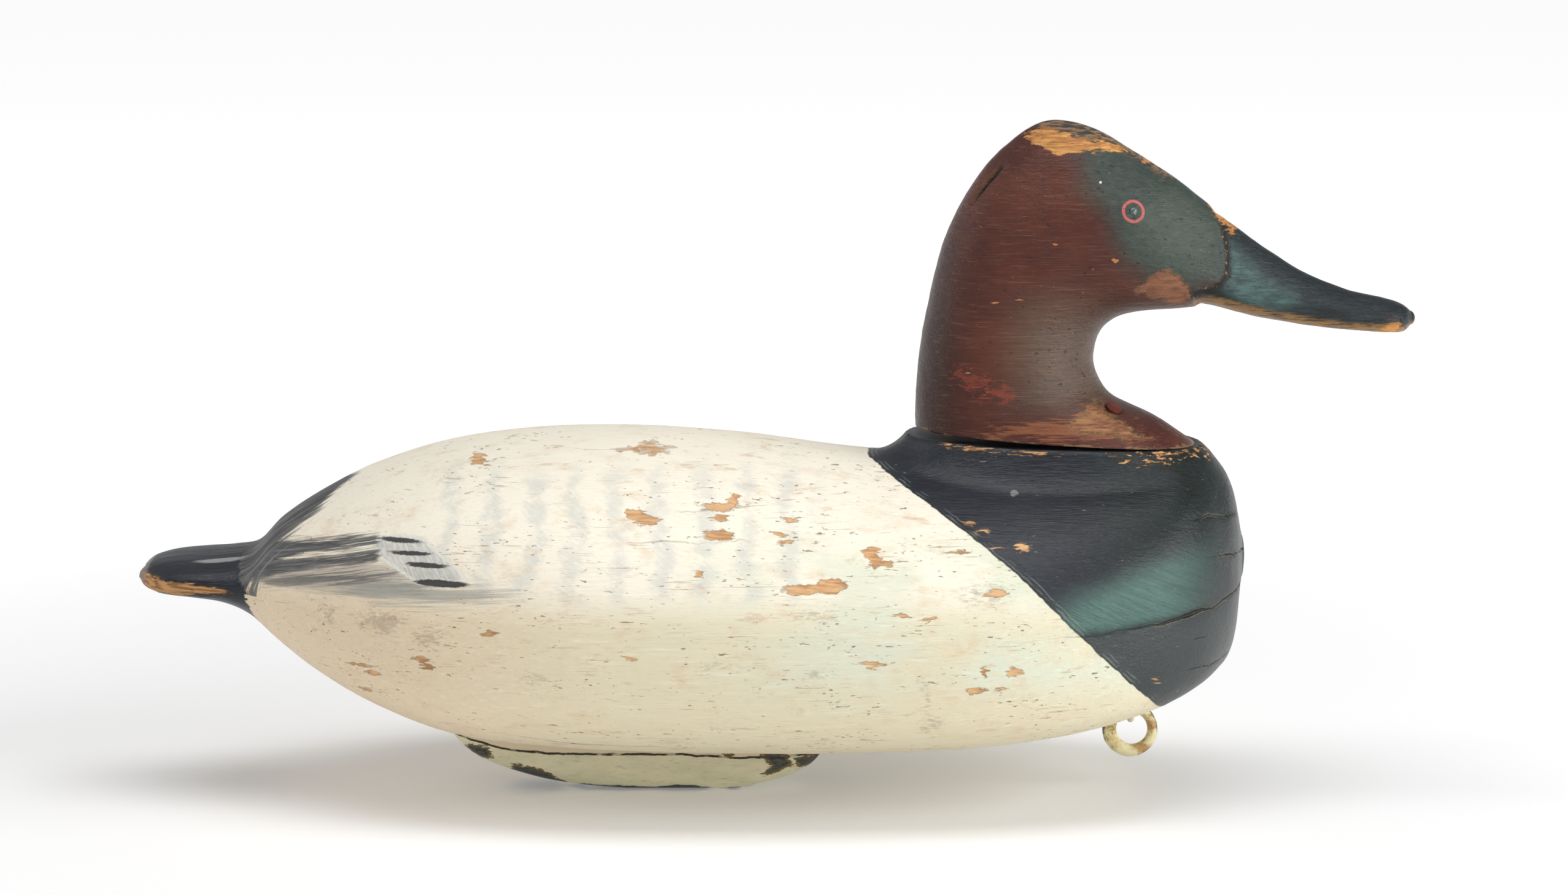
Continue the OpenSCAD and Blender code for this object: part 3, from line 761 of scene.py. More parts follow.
def body_paint():
    """Old oil paint: cream sides, black breast and tail, strokes, chips and cracks."""
    p = Paint("body_paint")
    brush = p.noise((26, 1.1, 1.1), 4, 0.65)
    fine = p.noise((5, 0.45, 0.45), 3, 0.6)
    cloud = p.noise((34, 26, 20), 4)
    speckle = p.noise((2.6, 2.6, 0.6), 1)
    crowd = p.step(p.noise((24, 20, 9), 2), 0.35, 0.65, -0.02, 0.06)
    gouges = p.step(p.minus(p.noise((3.6, 2.2, 0.9), 3), crowd), 0.68, 0.70)
    ripples = p.streaks(-26, (10, 22, 0.8), 4, 0.65)
    splinter = p.noise((9, 2, 0.9), 4, 0.65)

    # Where the black paint, the chips, the worn edges and the cracks are
    breast_rim = p.shaken("breast", p.noise((5, 5, 5), 3), 1.6)
    tail = p.ragged("tail", p.noise((3, 3, 1.4), 4, 0.7), 7, -0.3, 0.4)
    blackened = p.larger(p.step(breast_rim, -0.15, 0.15), tail)
    pale_streak = p.blobs([((-171, -16, 74), (8, 2.4, 6))], p.warped((5, 3, 3), (3, 2, 0)))
    torn = p.warped((7, 7, 0.9), (9, 0, 0), p.warped((2.6, 2.6, 1.8), (3.2, 0, 2.6)))
    chip = p.blobs(BODY_CHIPS + BREAST_CHIPS, torn)
    chipped = p.step(chip, -0.03, 0.1)
    tail_rim = p.shaken("rim", p.noise((9, 3, 1.3), 5, 0.7), 5)
    shelf_rim = p.ragged("shelf_rim", splinter, 3.4, 0.98, 1.08)
    flecks = p.ragged("flecks", p.noise((4, 3, 1.2), 4, 0.7), 3.4, 1.08, 1.16)
    worn = p.larger(p.step(tail_rim, -0.15, 0.15), p.larger(shelf_rim, flecks))
    bare = p.larger(chipped, worn)
    tail_tip = p.blobs([((-199, 0, 67), (7, 30, 10))], p.warped((5, 5, 4), (5, 5, 3)))
    gap = p.minus("gape", p.math("ABSOLUTE", p.shaken("crack", fine, 0.7)))
    cracked = p.times(p.step(gap, -0.08, 0.12), p.step("gape", 0.04, 0.30))
    crack_rim = p.times(p.step(gap, -0.5, -0.1, 0.45), p.step("gape", 0.15, 0.25))

    cream = cream_paint(p, brush, fine, cloud, speckle, crowd, gouges)
    amber = p.mix(p.step(p.noise((10, 2, 1), 4), 0.4, 0.62), (196, 146, 94), (134, 96, 60))
    colour = p.coats(
        rump_paint(p, cream, fine),
        (blackened, black_paint(p, fine, cloud, speckle, crowd, ripples, breast_rim)),
        (p.step(pale_streak, -0.5, 0.8, 0.7), (176, 176, 176)),
        # Painted shade round the edge of each chip
        (p.band(chip, -0.05, 0.3), (150, 116, 82), 0.5),
        (chipped, bare_wood(p)),
        (p.band(tail_rim, -0.2, 0.7), (48, 42, 38), 0.8),
        (worn, p.mix(p.step(splinter, 0.60, 0.68), amber, (70, 50, 34))),
        (p.step(tail_tip, -0.8, 1.2, 0.75), (128, 120, 112)),
        (crack_rim, (120, 118, 100)),
        (cracked, (24, 20, 16)),
    )
    gloss = p.shaken(p.add(0.50, p.times(blackened, -0.16)), brush, 0.25)
    height = p.total(
        (brush, 0.16),
        (fine, 0.10),
        (p.times(ripples, p.times(blackened, "sheen")), 0.42),
        (p.times(blackened, p.noise((9, 1.4, 1), 4, 0.7)), 0.22),
        (bare, -0.24),
        (p.larger(cracked, p.times(gouges, 0.3)), -0.5),
    )
    return p.finish(colour, p.larger(gloss, p.times(bare, 0.72)), height, specular=0.34)


def add_body():
    """The carved and painted body."""
    def near_weight(points):
        return 1 + 0.5 * smooth(40, 48, points[..., 2]) * smooth(72, 64, points[..., 2])

    section = body_section(body_stations())
    rings = two_sided(section, far_count=104, near_count=184, near_weight=near_weight)
    rings = np.concatenate([rounded_end(rings[0], -0.8)[::-1], rings, rounded_end(rings[-1], 0.8)])
    mesh = tube_mesh("carved_body", rings, "body", body_relief, body_fields)
    place_piece(mesh, "decoy", "body_paint", body_paint(), "body")


# ---- Head ----

# Rows of the head, from the neck's foot to the tip of the bill: place along the loft,
# x and z of the back or top, x and z of the front or underside, half the width, share of
# the way down at which it is widest, squareness of the upper and of the lower half.
HEAD_ROWS = [
    [0, 42.6, 113.8, 129.4, 108.4, 29, 0.50, 2.3, 2.3],
    [1, 42.6, 122, 117.4, 116.4, 26.6, 0.50, 2.2, 2.2],
    [2, 43.4, 133, 103.6, 123.4, 24.4, 0.50, 2.1, 2.1],
    [3, 45.2, 146, 98.2, 131.8, 23.4, 0.48, 2.1, 2.1],
    [4, 48, 160, 98.1, 138.8, 23, 0.47, 2.1, 2.1],
    [5, 52.4, 174, 100.2, 144.2, 23.1, 0.50, 2.1, 2.2],
    [6, 59.6, 188, 104.4, 147.8, 23.5, 0.52, 2.1, 2.3],
    [7, 69.8, 200, 110, 149.5, 23.7, 0.55, 2, 2.4],
    [8, 82.5, 208, 117, 150.2, 23.3, 0.57, 2, 2.4],
    [9, 96.5, 206, 123.5, 150.6, 22.2, 0.58, 2, 2.4],
    [10, 110, 198.4, 128.6, 151, 20.2, 0.60, 2, 2.4],
    [11, 122.3, 190.6, 133, 150.8, 18, 0.62, 2, 2.4],
    [12, 132.3, 183.2, 138, 149.6, 16, 0.66, 2, 2.5],
    [13, 141.5, 176.4, 145, 148, 14.4, 0.70, 2, 2.6],
    [14, 151.5, 168.5, 154, 146.4, 13.2, 0.74, 2, 2.8],
    [15, 163.5, 161, 165, 144.6, 12.7, 0.76, 2, 2.8],
    [16, 176.5, 155.8, 177.5, 143.4, 13, 0.74, 2, 2.8],
    [17, 187.5, 153.2, 188, 142.6, 12.4, 0.66, 2.1, 2.6],
    [18, 193.2, 151.4, 193.2, 142.8, 9.6, 0.60, 2.2, 2.4],
    [19, 196.2, 149.2, 196.2, 145, 4.4, 0.50, 2.2, 2.2],
]
EYE = (107.8, 21.5, 181.9)
EYE_RING_RADIUS = 3.15
EYE_RING_WIDTH = 1.25
NAIL_ENTRIES = [(102.9, -15.7, 121.2), (96.5, 18.6, 123.2)]
# Chips of the head: centres and half sizes
HEAD_CHIPS = [((102.7, -23, 167), (1.2, 8, 0.7)), ((73.5, -20, 155), (1.8, 12, 0.25)),
              ((66, -22, 154), (1.2, 12, 0.25)), ((84, -22, 172), (1, 12, 0.3)),
              ((118, 17, 165), (3, 8, 1.2)), ((70, 23, 150), (4, 8, 0.7)),
              ((113, -4, 195.8), (2.4, 6, 0.7))]

# Outlines in the side view, as points (x, z)
BILL = [(131, 187), (134, 181.5), (136.4, 176.8), (137.4, 170.6), (137.8, 165.1), (137, 161.5), (135, 158.7),
        (131, 157.1), (126.5, 156.4), (130, 150), (140, 138), (215, 130), (215, 200), (140, 200)]
FACE = [(86, 215), (90, 199), (93, 190), (97.5, 181), (101, 173), (105, 166), (112, 161.5), (119, 160),
        (126, 157.4), (150, 157), (150, 215)]
CROWN_WEAR = [(75, 203.5), (80, 206), (86, 205.4), (93, 203.4), (101, 202), (108, 199), (103, 198.8),
              (94, 199.6), (88, 198.8), (84, 198), (79.5, 200.6)]
CROWN_TOP = [(80, 215), (80, 207.2), (90, 205), (100, 202.8), (108, 199.6), (120, 192), (126, 215)]
CHEEK_WEAR = [(108.5, 157), (112, 160.4), (115.5, 163.6), (119, 163.8), (123.4, 160.2), (126.8, 155),
              (124, 152.8), (120, 153.4), (114, 155.2)]
FOOT_WEAR = [(60, 113.6), (66, 117.6), (76, 118.4), (88, 119.4), (95, 123.2), (99, 123), (101, 119.6),
             (108, 114.8), (114, 112.2), (109, 111.6), (90, 112.6), (76, 112.8)]
BARE_FOOT = [(88, 116), (92, 120), (97, 123.6), (101, 120.4), (108, 114.8), (112, 112.6), (106, 113),
             (96, 114)]
NECK_WEAR = [(50, 132.5), (57, 136), (66, 133), (75, 128), (72, 122), (62, 122.5), (54, 127)]
TIP_WEAR = [(182, 146.6), (187, 148.6), (191, 148.2), (193.2, 146), (191, 140), (181, 140)]
RIDGE_WEAR = [(131.5, 184.5), (134, 184), (141.5, 175.4), (139.5, 174), (136, 177), (133, 180.4)]
# Blue-green patch on the bill: partly paint, partly a painted highlight
TEAL_AND_HIGHLIGHT_PATCH = [(139, 170), (148, 160), (158, 154), (153, 151), (142, 152), (137, 158)]
# Height of the rubbed edge above the underside of the bill, at places along x
BILL_EDGE = [(126, 2.6), (132, 4.2), (145, 4.4), (165, 3.8), (180, 3.4), (188, 4.2), (196, 2.4)]
NECK_FOOT = [(42.6, 113.8), (129.4, 108.4)]


def head_section(places):
    """A function that gives points of the head's skin at angles round each ring."""
    rows = curve(HEAD_ROWS, places)
    _, top_x, top_z, under_x, under_z, half, widest, upper, lower = (rows[:, k, None] for k in range(9))

    def section(angles):
        a = np.radians(angles)
        above = np.sin(a) > 0
        squareness = np.where(above, upper, lower)
        y = half * signed_power(np.cos(a), squareness)
        up = signed_power(np.sin(a), squareness)
        down = np.where(above, widest * (1 - up), widest - (1 - widest) * up)
        x = top_x + (under_x - top_x) * down
        z = top_z + (under_z - top_z) * down
        return np.stack([x, y, z], axis=-1)
    return section


def head_relief(points, normals):
    """Carving, grain, the step behind the bill, the crack, bare wood and the nail holes."""
    height = 0.26 * rough(points, (26, 20, 20), 61, 2)
    height += 0.07 * rough(points, (7, 3, 2), 62, 3)
    bill = inside(points, BILL) + 0.35 * rough(points, (3, 3, 3), 64, 2)
    height -= 0.8 * smooth(-0.3, 1.1, bill) * smooth(18, 2, bill)
    height -= 0.75 * np.exp(-(bill / 0.8) ** 2)
    offset, width = back_crack(points)
    height -= 2.6 * np.exp(-(offset / 0.9) ** 2) * width
    worn = np.maximum(inside(points, CHEEK_WEAR), inside(points, BARE_FOOT))
    height -= 0.22 * smooth(-0.2, 0.6, worn + 0.8 * rough(points, (4, 3, 2), 65, 3))
    for entry in NAIL_ENTRIES:
        off = np.linalg.norm(points - entry, axis=1)
        height -= 0.7 * smooth(3.4, 2.4, off)
    return height


def back_crack(points):
    """The drying crack down the back of the head: how far sideways, and how open."""
    x, y, z = points.T
    share = smooth(182, 185, z) * smooth(196, 193, z) * smooth(74, 68, x)
    return y + 9.5 + 0.8 * rough(points, (6, 6, 6), 63, 2), share


def head_fields(points, normals):
    """Where the head's paints, its wear and its painted highlights are."""
    x, _, z = points.T
    underside = curve(HEAD_ROWS, np.linspace(11, 19, 200))[:, 3:5]
    offset, width = back_crack(points)
    outlines = {"bill": BILL, "face": FACE, "crown": CROWN_WEAR, "cheek": CHEEK_WEAR,
                "foot_wear": FOOT_WEAR, "bare_foot": BARE_FOOT}
    return {name: inside(points, outline) for name, outline in outlines.items()} | {
        "bill_edge": np.minimum(level(BILL_EDGE, x) - (z - level(underside, x)), (x - 126) * 0.5),
        "tip": np.maximum(inside(points, TIP_WEAR), inside(points, RIDGE_WEAR) + 1.4),
        "crown_top": smooth(-3, 0, inside(points, CROWN_TOP)),
        "neck_wear": smooth(-5, 4, inside(points, NECK_WEAR)),
        "foot_edge": z - level(NECK_FOOT, x),
        "crack": offset,
        "gape": width,
        "rear": smooth(62, 46, x),
        # Painted highlight on the front of the neck
        "front": smooth(60, 82, x) * smooth(166, 142, z) * smooth(114, 128, z),
        "teal": smooth(-4, 3, inside(points, TEAL_AND_HIGHLIGHT_PATCH)),
    }


def brown_paint(p, brush, cloud, tatter, streak, lines, pits, face_edge):
    """Red-brown paint with a lighter grey-brown painted highlight on the front of the neck, and the
    grey-green face.
    """
    face = p.coats(
        p.mix(p.step(cloud, 0.35, 0.65), (45, 56, 52), (58, 69, 61)),
        (p.step(tatter, 0.50, 0.68, 0.45), (84, 88, 74)),
        (p.step(p.noise((2.6, 2.6, 1.4), 5, 0.75), 0.52, 0.68, 0.5), (30, 40, 38)),
    )
    off_face = p.step(face_edge, 4, -6, 1, 0.2)
    return p.coats(
        p.mix(p.step(cloud, 0.35, 0.68), (72, 31, 22), (88, 43, 29)),
        (p.step(streak, 0.5, 0.75, 0.35), (104, 54, 38)),
        ("rear", (34, 16, 12), 0.75),
        # Painted highlight: lighter grey-brown on the front of the neck
        (p.times("front", p.step(streak, 0.3, 0.7, 0.5, 0.75)), (88, 79, 66)),
        (p.step(face_edge, -6, 6.5), face),
        (p.step(brush, 0.58, 0.85, 0.25), (118, 88, 76)),
        (p.step(p.noise((1.3, 1.3, 0.8), 1), 0.76, 0.82, 0.6), (160, 122, 96)),
        (p.times(off_face, p.step(lines, 0.56, 0.72, 0.32)), (132, 100, 84)),
        (p.times(off_face, p.step(lines, 0.44, 0.30, 0.40)), (40, 24, 22)),
        (pits, (34, 26, 24), 0.6),
    )


def bill_paint(p, brush, streak, tatter):
    """Dark bill with a blue-green patch, partly paint and partly a painted highlight."""
    return p.coats(
        p.mix(p.step(brush, 0.4, 0.75), (22, 28, 31), (38, 50, 52)),
        # Blue-green patch: partly paint, partly a painted highlight
        (p.times("teal", p.step(p.add(streak, tatter), 0.8, 1.2, 1, 0.35)), (74, 102, 98)),
    )


def head_paint():
    """Old oil paint: red-brown head and neck, grey-green face, dark bill, worn wood."""
    p = Paint("head_paint")
    brush = p.noise((9, 1, 1), 4, 0.65)
    fine = p.noise((2.2, 0.5, 0.5), 3, 0.6)
    cloud = p.noise((22, 18, 18), 4)
    tatter = p.noise((5, 3, 1.6), 5, 0.7)
    streak = p.noise((12, 3, 0.8), 5, 0.7)
    lines = p.noise((13, 4, 0.42), 3)
    pits = p.step(p.noise((2.2, 2.2, 1.2), 2), 0.66, 0.72)

    # Where the face, the bill and the worn wood are
    face_edge = p.shaken("face", cloud, 12)
    bill_rim = p.shaken("bill", fine, 0.9)
    on_bill = p.step(bill_rim, -0.15, 0.15)
    crown = p.ragged("crown", tatter, 7, -0.2, 0.5)
    cheek_rim = p.shaken("cheek", p.noise((4.5, 3, 1.8), 6, 0.8), 8)
    cheek = p.step(cheek_rim, -0.1, 0.2)
    foot_rim = p.shaken("bare_foot", p.noise((7, 4, 1.5), 6, 0.75), 9)
    bare_foot = p.step(foot_rim, 0.3, 0.7)
    tip = p.ragged("tip", streak, 11, 1.5, 2.1)
    bare = p.larger(p.larger(tip, crown), p.larger(bare_foot, cheek))
    chip = p.blobs(HEAD_CHIPS, p.warped((1.8, 1.8, 1.2), (2.6, 0, 2.2)))
    fleck = p.blobs([((97.8, -20.2, 190.5), (0.42, 6, 0.42))], p.place)
    groove = p.band(p.shaken(bill_rim, tatter, 3), -0.1, 3.4)
    crumbs = p.times(p.step(p.noise((1.4, 1.4, 1.4), 2), 0.6, 0.66), p.band(bill_rim, -0.6, 2.2))
    off_crack = p.math("ABSOLUTE", "crack")

    grain = p.step(streak, 0.38, 0.62)
    amber = p.mix(grain, (206, 150, 84), (150, 98, 52))
    amber = p.mix(p.step(tatter, 0.62, 0.72, 0.8), amber, (66, 48, 38))
    eye_rings = []
    for side in (-1, 1):
        centre = (EYE[0], side * EYE[1], EYE[2])
        reach = p.distance(p.warped((2, 2, 2), (0.5, 0.5, 0.5)), centre)
        eye_rings.append((p.band(reach, EYE_RING_RADIUS, EYE_RING_WIDTH), (188, 92, 88), 0.85))
    colour = p.coats(
        brown_paint(p, brush, cloud, tatter, streak, lines, pits, face_edge),
        ("crown_top", (50, 50, 50), 0.8),
        (p.times("crown_top", p.step(streak, 0.47, 0.56)), (158, 120, 80), 0.75),
        (crown, amber),
        (p.band(cheek_rim, 0.1, 0.9), (150, 124, 96), 0.6),
        (cheek, p.mix(p.step(tatter, 0.4, 0.6), (142, 96, 70), (116, 76, 58))),
        (p.ragged("foot_wear", streak, 16, 0.3, 1.8, 0.75), (138, 84, 54)),
        (p.band(foot_rim, 0.2, 0.9), (132, 106, 70), 0.5),
        (bare_foot, p.mix(grain, (150, 108, 70), (108, 66, 46))),
        (p.ragged("neck_wear", p.noise((4, 3, 1.1), 5, 0.75), 3.4, 0.85, 1.15), (136, 62, 46), 0.65),
        (p.ragged("neck_wear", p.noise((4, 2, 0.6), 4, 0.7), 4.6, 1.66, 1.74), (196, 160, 130), 0.8),
        (p.ragged("foot_edge", p.noise((7, 4, 2), 4), -6, 0.25, -0.15), (128, 100, 70), 0.8),
        (p.step(chip, -0.05, 0.1), (176, 116, 66)),
        (p.step(fleck, -0.05, 0.1), (222, 218, 206)),
        (on_bill, bill_paint(p, brush, streak, tatter)),
        (groove, (30, 26, 24), 0.9),
        (crumbs, (170, 128, 84), 0.8),
        (p.ragged("bill_edge", streak, 9, -0.3, 0.9, 0.9),
         p.mix(p.step(streak, 0.46, 0.62), (160, 120, 70), (58, 50, 42))),
        (tip, amber),
        *eye_rings,
        (p.times(p.step(off_crack, 2, 1.5), p.times("gape", 0.6)), (110, 74, 50)),
        (p.times(p.step(off_crack, 1.1, 0.7), "gape"), (26, 18, 15)),
    )
    height = p.total(
        (brush, 0.30),
        (fine, 0.20),
        (tatter, 0.14),
        (p.times(on_bill, p.noise((6, 2.4, 1.3), 4, 0.7)), 0.45),
        (bare, -0.14),
        (pits, -0.16),
        (p.times(p.step(face_edge, -3, 3), p.noise((4, 4, 2.2), 5, 0.7)), 0.4),
        (lines, 0.16),
    )
    gloss = p.shaken(p.add(0.36, p.times(bare, 0.26)), brush, 0.2)
    return p.finish(colour, gloss, height, specular=0.33)


def add_head():
    """The carved head, with its neck and bill."""
    # Rings of the head: from one row of its table to another, and how many
    stretches = [(0, 9, 130), (9, 12, 42), (12, 14, 40), (14, 18, 46)]
    places = [np.linspace(first, last, count)[:-1] for first, last, count in stretches]
    section = head_section(np.concatenate([*places, np.linspace(18, 19, 12)]))
    rings = two_sided(section, far_count=72, near_count=112)
    rings = np.concatenate([rounded_end(rings[0], 0, 8)[::-1], rings, rounded_end(rings[-1], 1.2, 6)])
    mesh = tube_mesh("carved_head", rings, "head", head_relief, head_fields)
    place_piece(mesh, "decoy", "head_paint", head_paint(), "head")


# ---- Keel ----

# The keel's underside: share of its length from the rear, and height
KEEL_ROCKER = [
    [0, 19.4], [0.06, 12.2], [0.13, 7.8], [0.24, 3.6], [0.34, 1.4], [0.44, 0.3], [0.51, -0.2],
    [0.6, -0.5], [0.68, -0.5], [0.75, -0.1], [0.83, 1.8], [0.89, 3.7], [0.935, 6], [0.97, 8.6],
    [1, 13],
]
KEEL_REAR = -103
KEEL_FRONT = 15
KEEL_HALF_WIDTH = 11
KEEL_END = 16
SEAT_HEIGHT = 17.5
SEAT_BEND = -60
SEAT_RISE = 6.5
KEEL_SQUARENESS = 3.2
# Height of the seam in the keel's paint, at places along x
KEEL_SEAM = [(-100, 18), (-90, 15.4), (-83, 13.4), (-70, 12.5), (-50, 12.2), (-30, 12), (-16, 11.4),
             (-3, 11.2), (12, 12)]
# Patches broken off down to the lead, in the side view: points (x, z)
LEAD_PATCHES = [
    [(-95.5, 15), (-90, 14.5), (-88, 10.5), (-93, 10.5), (-97, 14)],
    [(-82, 8.4), (-77, 8), (-71, 6), (-66, 2.4), (-75, 1), (-84, 3)],
    [(-17.5, 12.8), (-14, 12.6), (-14.6, 11), (-16.5, 11.2)],
    [(-6, 12.6), (2, 12.4), (4.5, 9), (-2, 5.4), (-5, 5.4), (-1.5, 8.4)],
    [(5, 11), (10, 11.5), (15, 13), (12, 8), (7, 7.4)],
]


def keel_seat(x):
    """Height of the keel's flat top."""
    return SEAT_HEIGHT + SEAT_RISE * np.maximum(SEAT_BEND - x, 0) / (SEAT_BEND - KEEL_REAR)


def keel_relief(points, normals):
    """Uneven casting on the keel's sides."""
    height = 0.25 * rough(points, (12, 8, 6), 81, 3)
    height *= smooth(0, 1.5, points[:, 2]) * smooth(0.6, 0, np.abs(normals[:, 2]))
    return height


def keel_fields(points, normals):
    """Where the keel's paint skin ends, and where it is broken off."""
    x, _, z = points.T
    lead = np.max([inside(points, outline) for outline in LEAD_PATCHES], axis=0)
    return {"seam": z - level(KEEL_SEAM, x), "lead": lead, "bottom": smooth(3.2, 0.6, z)}


def keel_paint():
    """Pale green-cream paint on cast lead, chipped to the dark metal."""
    p = Paint("keel_paint")
    cloud = p.noise((14, 9, 6), 4)
    fine = p.noise((2.4, 1.2, 0.9), 4, 0.65)
    seam = p.shaken("seam", p.noise((8, 8, 8), 4), 2.2)
    crack = p.times(p.band(seam, 0, 0.8), p.step(p.noise((6, 6, 6), 3), 0.30, 0.46, 1, 0.25))
    patch = p.shaken("lead", fine, 4.6)
    lead = p.larger(p.step(patch, 0.3, 0.65), p.ragged("bottom", cloud, 2.6, 0.7, 0.85))
    colour = p.coats(
        p.mix(p.step(cloud, 0.35, 0.65), (236, 228, 196), (222, 218, 184)),
        (p.step(fine, 0.54, 0.78, 0.5), (186, 168, 128)),
        (p.step(p.noise((9, 5, 1.2), 5, 0.75), 0.56, 0.70, 0.5), (170, 142, 102)),
        (p.step(seam, 0, 0.4), (230, 214, 184)),
        (crack, (44, 30, 20)),
        (p.band(patch, 0.1, 0.9), (120, 96, 60)),
        (lead, p.mix(p.step(fine, 0.4, 0.65), (58, 60, 56), (96, 98, 90))),
    )
    height = p.total((fine, 0.22), (cloud, 0.5), (lead, -0.35), (crack, -0.5))
    return p.finish(colour, p.step(fine, 0.3, 0.7, 0.62, 0.42), height, metallic=p.times(lead, 0.35))


def add_keel():
    """The cast lead keel weight."""
    turn = np.linspace(0, math.pi, 190)
    x = KEEL_REAR + (KEEL_FRONT - KEEL_REAR) * (1 - np.cos(turn)) / 2
    end = np.minimum(x - KEEL_REAR, KEEL_FRONT - x)
    t = np.clip(1 - end / KEEL_END, 0, 1)
    half = KEEL_HALF_WIDTH * np.sqrt(np.maximum(1 - t ** 2.4, 0.02))
    top = keel_seat(x)
    under = curve(KEEL_ROCKER, (x - KEEL_REAR) / (KEEL_FRONT - KEEL_REAR))[:, 1]
    under = np.minimum(np.maximum(under, 0), top - 1)

    def section(angles):
        a = np.radians(angles)
        y = -half[:, None] * signed_power(np.cos(a), KEEL_SQUARENESS)
        z = top[:, None] - (top - under)[:, None] * signed_power(np.sin(a), KEEL_SQUARENESS)
        return np.stack([x[:, None] + 0 * y, y, z], axis=-1)

    lower = section(spread_angles(section, 0, 180, 90))
    lid = np.linspace(1, -1, 24)[None, :, None]
    flat = np.stack([x, half * 0, top], axis=-1)[:, None, :]
    across = np.stack([half * 0, half, half * 0], axis=-1)[:, None, :]
    rings = np.concatenate([lower, flat + across * lid], axis=1)
    mesh = tube_mesh("keel_casting", rings, "keel_weight", keel_relief, keel_fields)
    place_piece(mesh, "decoy", "keel_paint", keel_paint(), "keel_weight")


# ---- Ring, plugs and small metal ----

RING_THICKNESS = 3.75
RING_HALF_DEPTH = 1.75
# How much thinner the ring is worn, and where: an angle round it, in radians
RING_WEAR = 0.62
RING_WORN_AT = 0.35


def add_ring():
    """The ring for the anchor line, worn thin on one side of its hole."""
    low, high = (np.array(corner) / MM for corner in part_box("line_ring"))
    centre = (low + high) / 2
    outer = (high[0] - low[0]) / 2
    turns = np.linspace(0, 2 * math.pi, 160, endpoint=False)
    around = np.linspace(0, 2 * math.pi, 40, endpoint=False)
    thickness = RING_THICKNESS - RING_WEAR * np.cos(turns - RING_WORN_AT)
    rings = []
    for turn, thick in zip(turns, thickness):
        out = np.array([math.cos(turn), 0, math.sin(turn)])
        middle = centre + out * (outer - thick / 2)
        bulk = out[None, :] * np.cos(around)[:, None] * thick / 2
        depth = np.array([0, 1, 0])[None, :] * np.sin(around)[:, None] * RING_HALF_DEPTH
        rings.append(middle + bulk + depth)
    points = np.array(rings).reshape(-1, 3)
    points += 0.07 * rough(points, (3, 3, 3), 91, 3)[:, None]
    index = np.arange(len(points)).reshape(len(turns), len(around))
    after = np.roll(index, -1, axis=1)
    quads = np.stack([index, after, np.roll(after, -1, axis=0), np.roll(index, -1, axis=0)], axis=-1)
    mesh = skin_mesh("anchor_ring", points * MM, quads.reshape(-1, 4))
    place_piece(mesh, "ring", "ring_paint", ring_paint(tuple(centre)), "line_ring")


def ring_paint(centre):
    """Cream paint worn through to rust, with a darker band round the outer edge as painted shade."""
    p = Paint("ring_paint")
    cloud = p.noise((3.5, 3.5, 3.5), 4)
    fine = p.noise((0.8, 0.8, 0.8), 4, 0.65)
    spots = [((centre[0] + 6.5, 0, centre[2] + 2), (2.4, 4, 2)),
             ((centre[0] + 4, 0, centre[2] - 5.5), (3.4, 4, 1.6))]
    rust = p.blobs(spots, p.warped((2, 2, 2), (2, 0, 2)))
    pits = p.ragged(fine, cloud, 0.4, 0.60, 0.68)
    reach = p.vector("LENGTH", p.vector("MULTIPLY", p.vector("SUBTRACT", p.place, centre), (1, 0, 1)))
    colour = p.coats(
        p.mix(p.step(cloud, 0.42, 0.62), (224, 216, 172), (198, 176, 118)),
        (p.ragged(rust, fine, 2.4, -0.7, 0.9, 0.8), (168, 118, 56)),
        (pits, (88, 68, 42), 0.85),
        # Painted shade: a darker band round the ring's outer edge
        (p.ragged(reach, cloud, 3, 8.15, 8.6), (70, 68, 58), 0.85),
    )
    return p.finish(colour, p.step(fine, 0.3, 0.7, 0.62, 0.4), p.total((fine, 0.12), (pits, -0.12)))


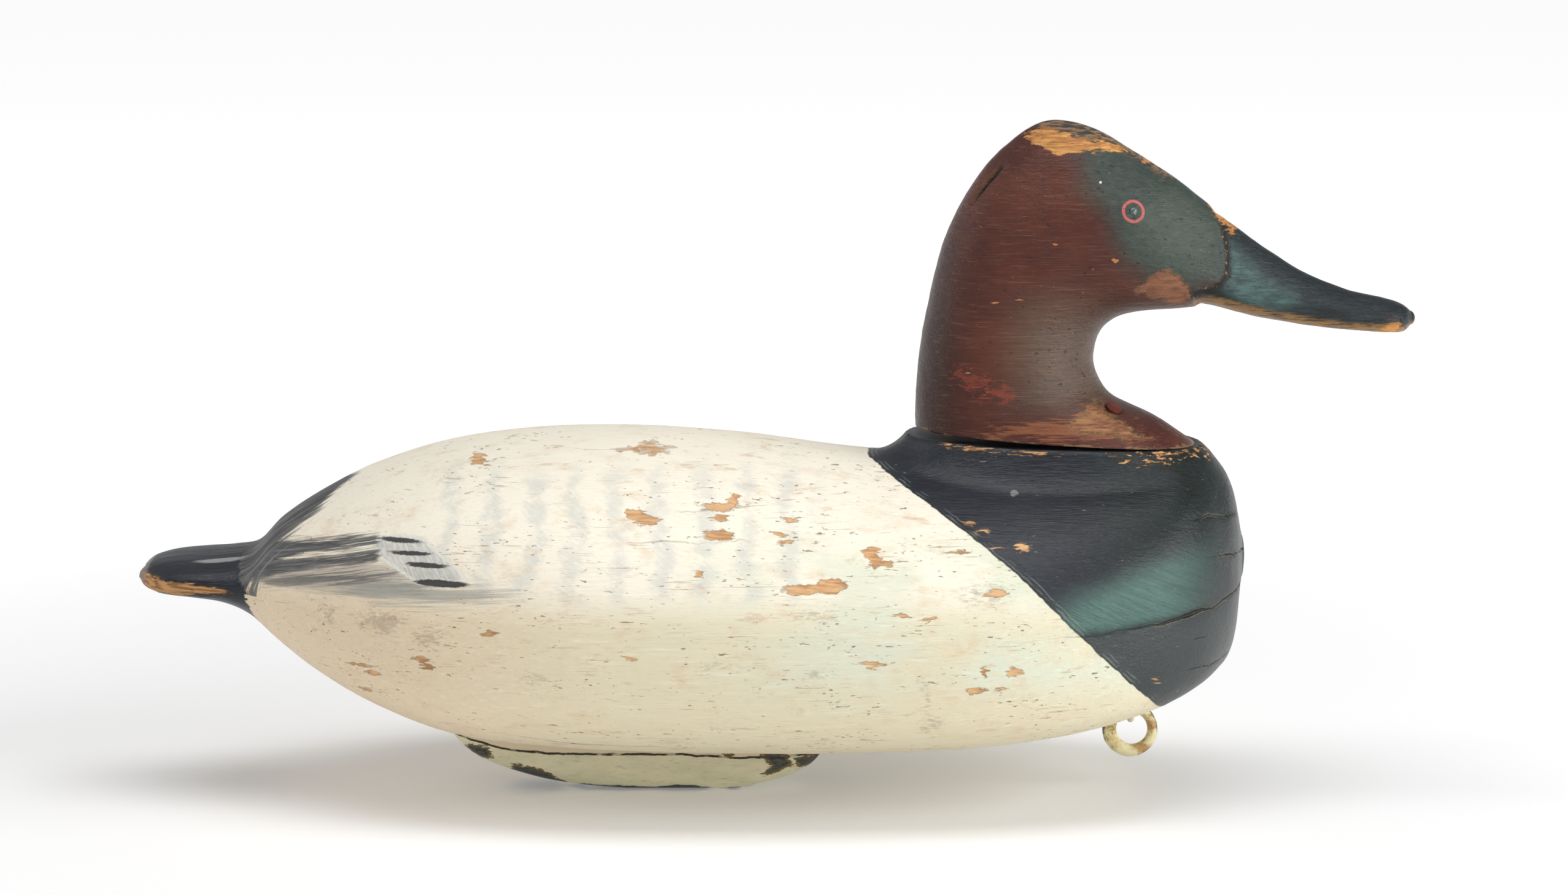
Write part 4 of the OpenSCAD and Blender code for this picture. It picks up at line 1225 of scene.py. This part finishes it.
def painted_iron():
    """Cream paint over iron, with the rust showing through."""
    p = Paint("painted_iron")
    cloud = p.noise((2, 2, 2), 4)
    fine = p.noise((0.6, 0.6, 0.6), 4, 0.7)
    colour = p.coats(
        p.mix(p.step(cloud, 0.35, 0.65), (216, 206, 176), (196, 180, 142)),
        (p.ragged(fine, cloud, 0.6, 0.58, 0.68), (112, 76, 46)),
    )
    return p.finish(colour, p.step(fine, 0.3, 0.7, 0.65, 0.45), p.times(fine, 0.12))


def iron():
    """Rusted iron."""
    p = Paint("iron")
    cloud = p.noise((3, 3, 3), 4)
    fine = p.noise((0.7, 0.7, 0.7), 4, 0.7)
    colour = p.mix(p.step(cloud, 0.38, 0.62), (92, 62, 42), (66, 58, 54))
    colour = p.mix(p.step(fine, 0.5, 0.75, 0.7), colour, (140, 84, 48))
    metallic = p.step(cloud, 0.3, 0.7, 0.7, 0.3)
    return p.finish(colour, p.step(fine, 0.3, 0.7, 0.75, 0.5), p.times(fine, 0.15), metallic)


def plug_paint():
    """Red-brown paint over the filler in the nail holes."""
    p = Paint("plug_paint")
    fine = p.noise((0.8, 0.8, 0.8), 3)
    colour = p.mix(p.step(p.noise((3, 3, 3), 4), 0.4, 0.62), (84, 38, 30), (104, 52, 40))
    colour = p.mix(p.step(fine, 0.62, 0.75), colour, (150, 104, 70))
    return p.finish(colour, p.step(fine, 0.3, 0.7, 0.4, 0.25), p.times(fine, 0.12))


def tack_paint():
    """The painted tack heads in the eyes, with pale patches as a painted highlight."""
    p = Paint("tack_paint")
    fine = p.noise((0.5, 0.5, 0.5), 4)
    # Pale patches: a painted highlight
    colour = p.mix(p.step(fine, 0.5, 0.68), (72, 88, 84), (150, 176, 170))
    return p.finish(colour, p.step(fine, 0.3, 0.7, 0.4, 0.25), p.times(fine, 0.1))


def dress_cad_nodes():
    """Materials of the small CAD nodes that stay as they are."""
    rusty = iron()
    finishes = {
        "head_nails": rusty, "keel_screws": rusty, "line_staple": painted_iron(),
        "nail_plugs": plug_paint(), "eye_tacks": tack_paint(),
    }
    for node, material in finishes.items():
        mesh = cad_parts[node].data
        mesh.materials.clear()
        mesh.materials.append(material)


add_camera()
add_studio()
add_body()
add_head()
add_keel()
add_ring()
dress_cad_nodes()
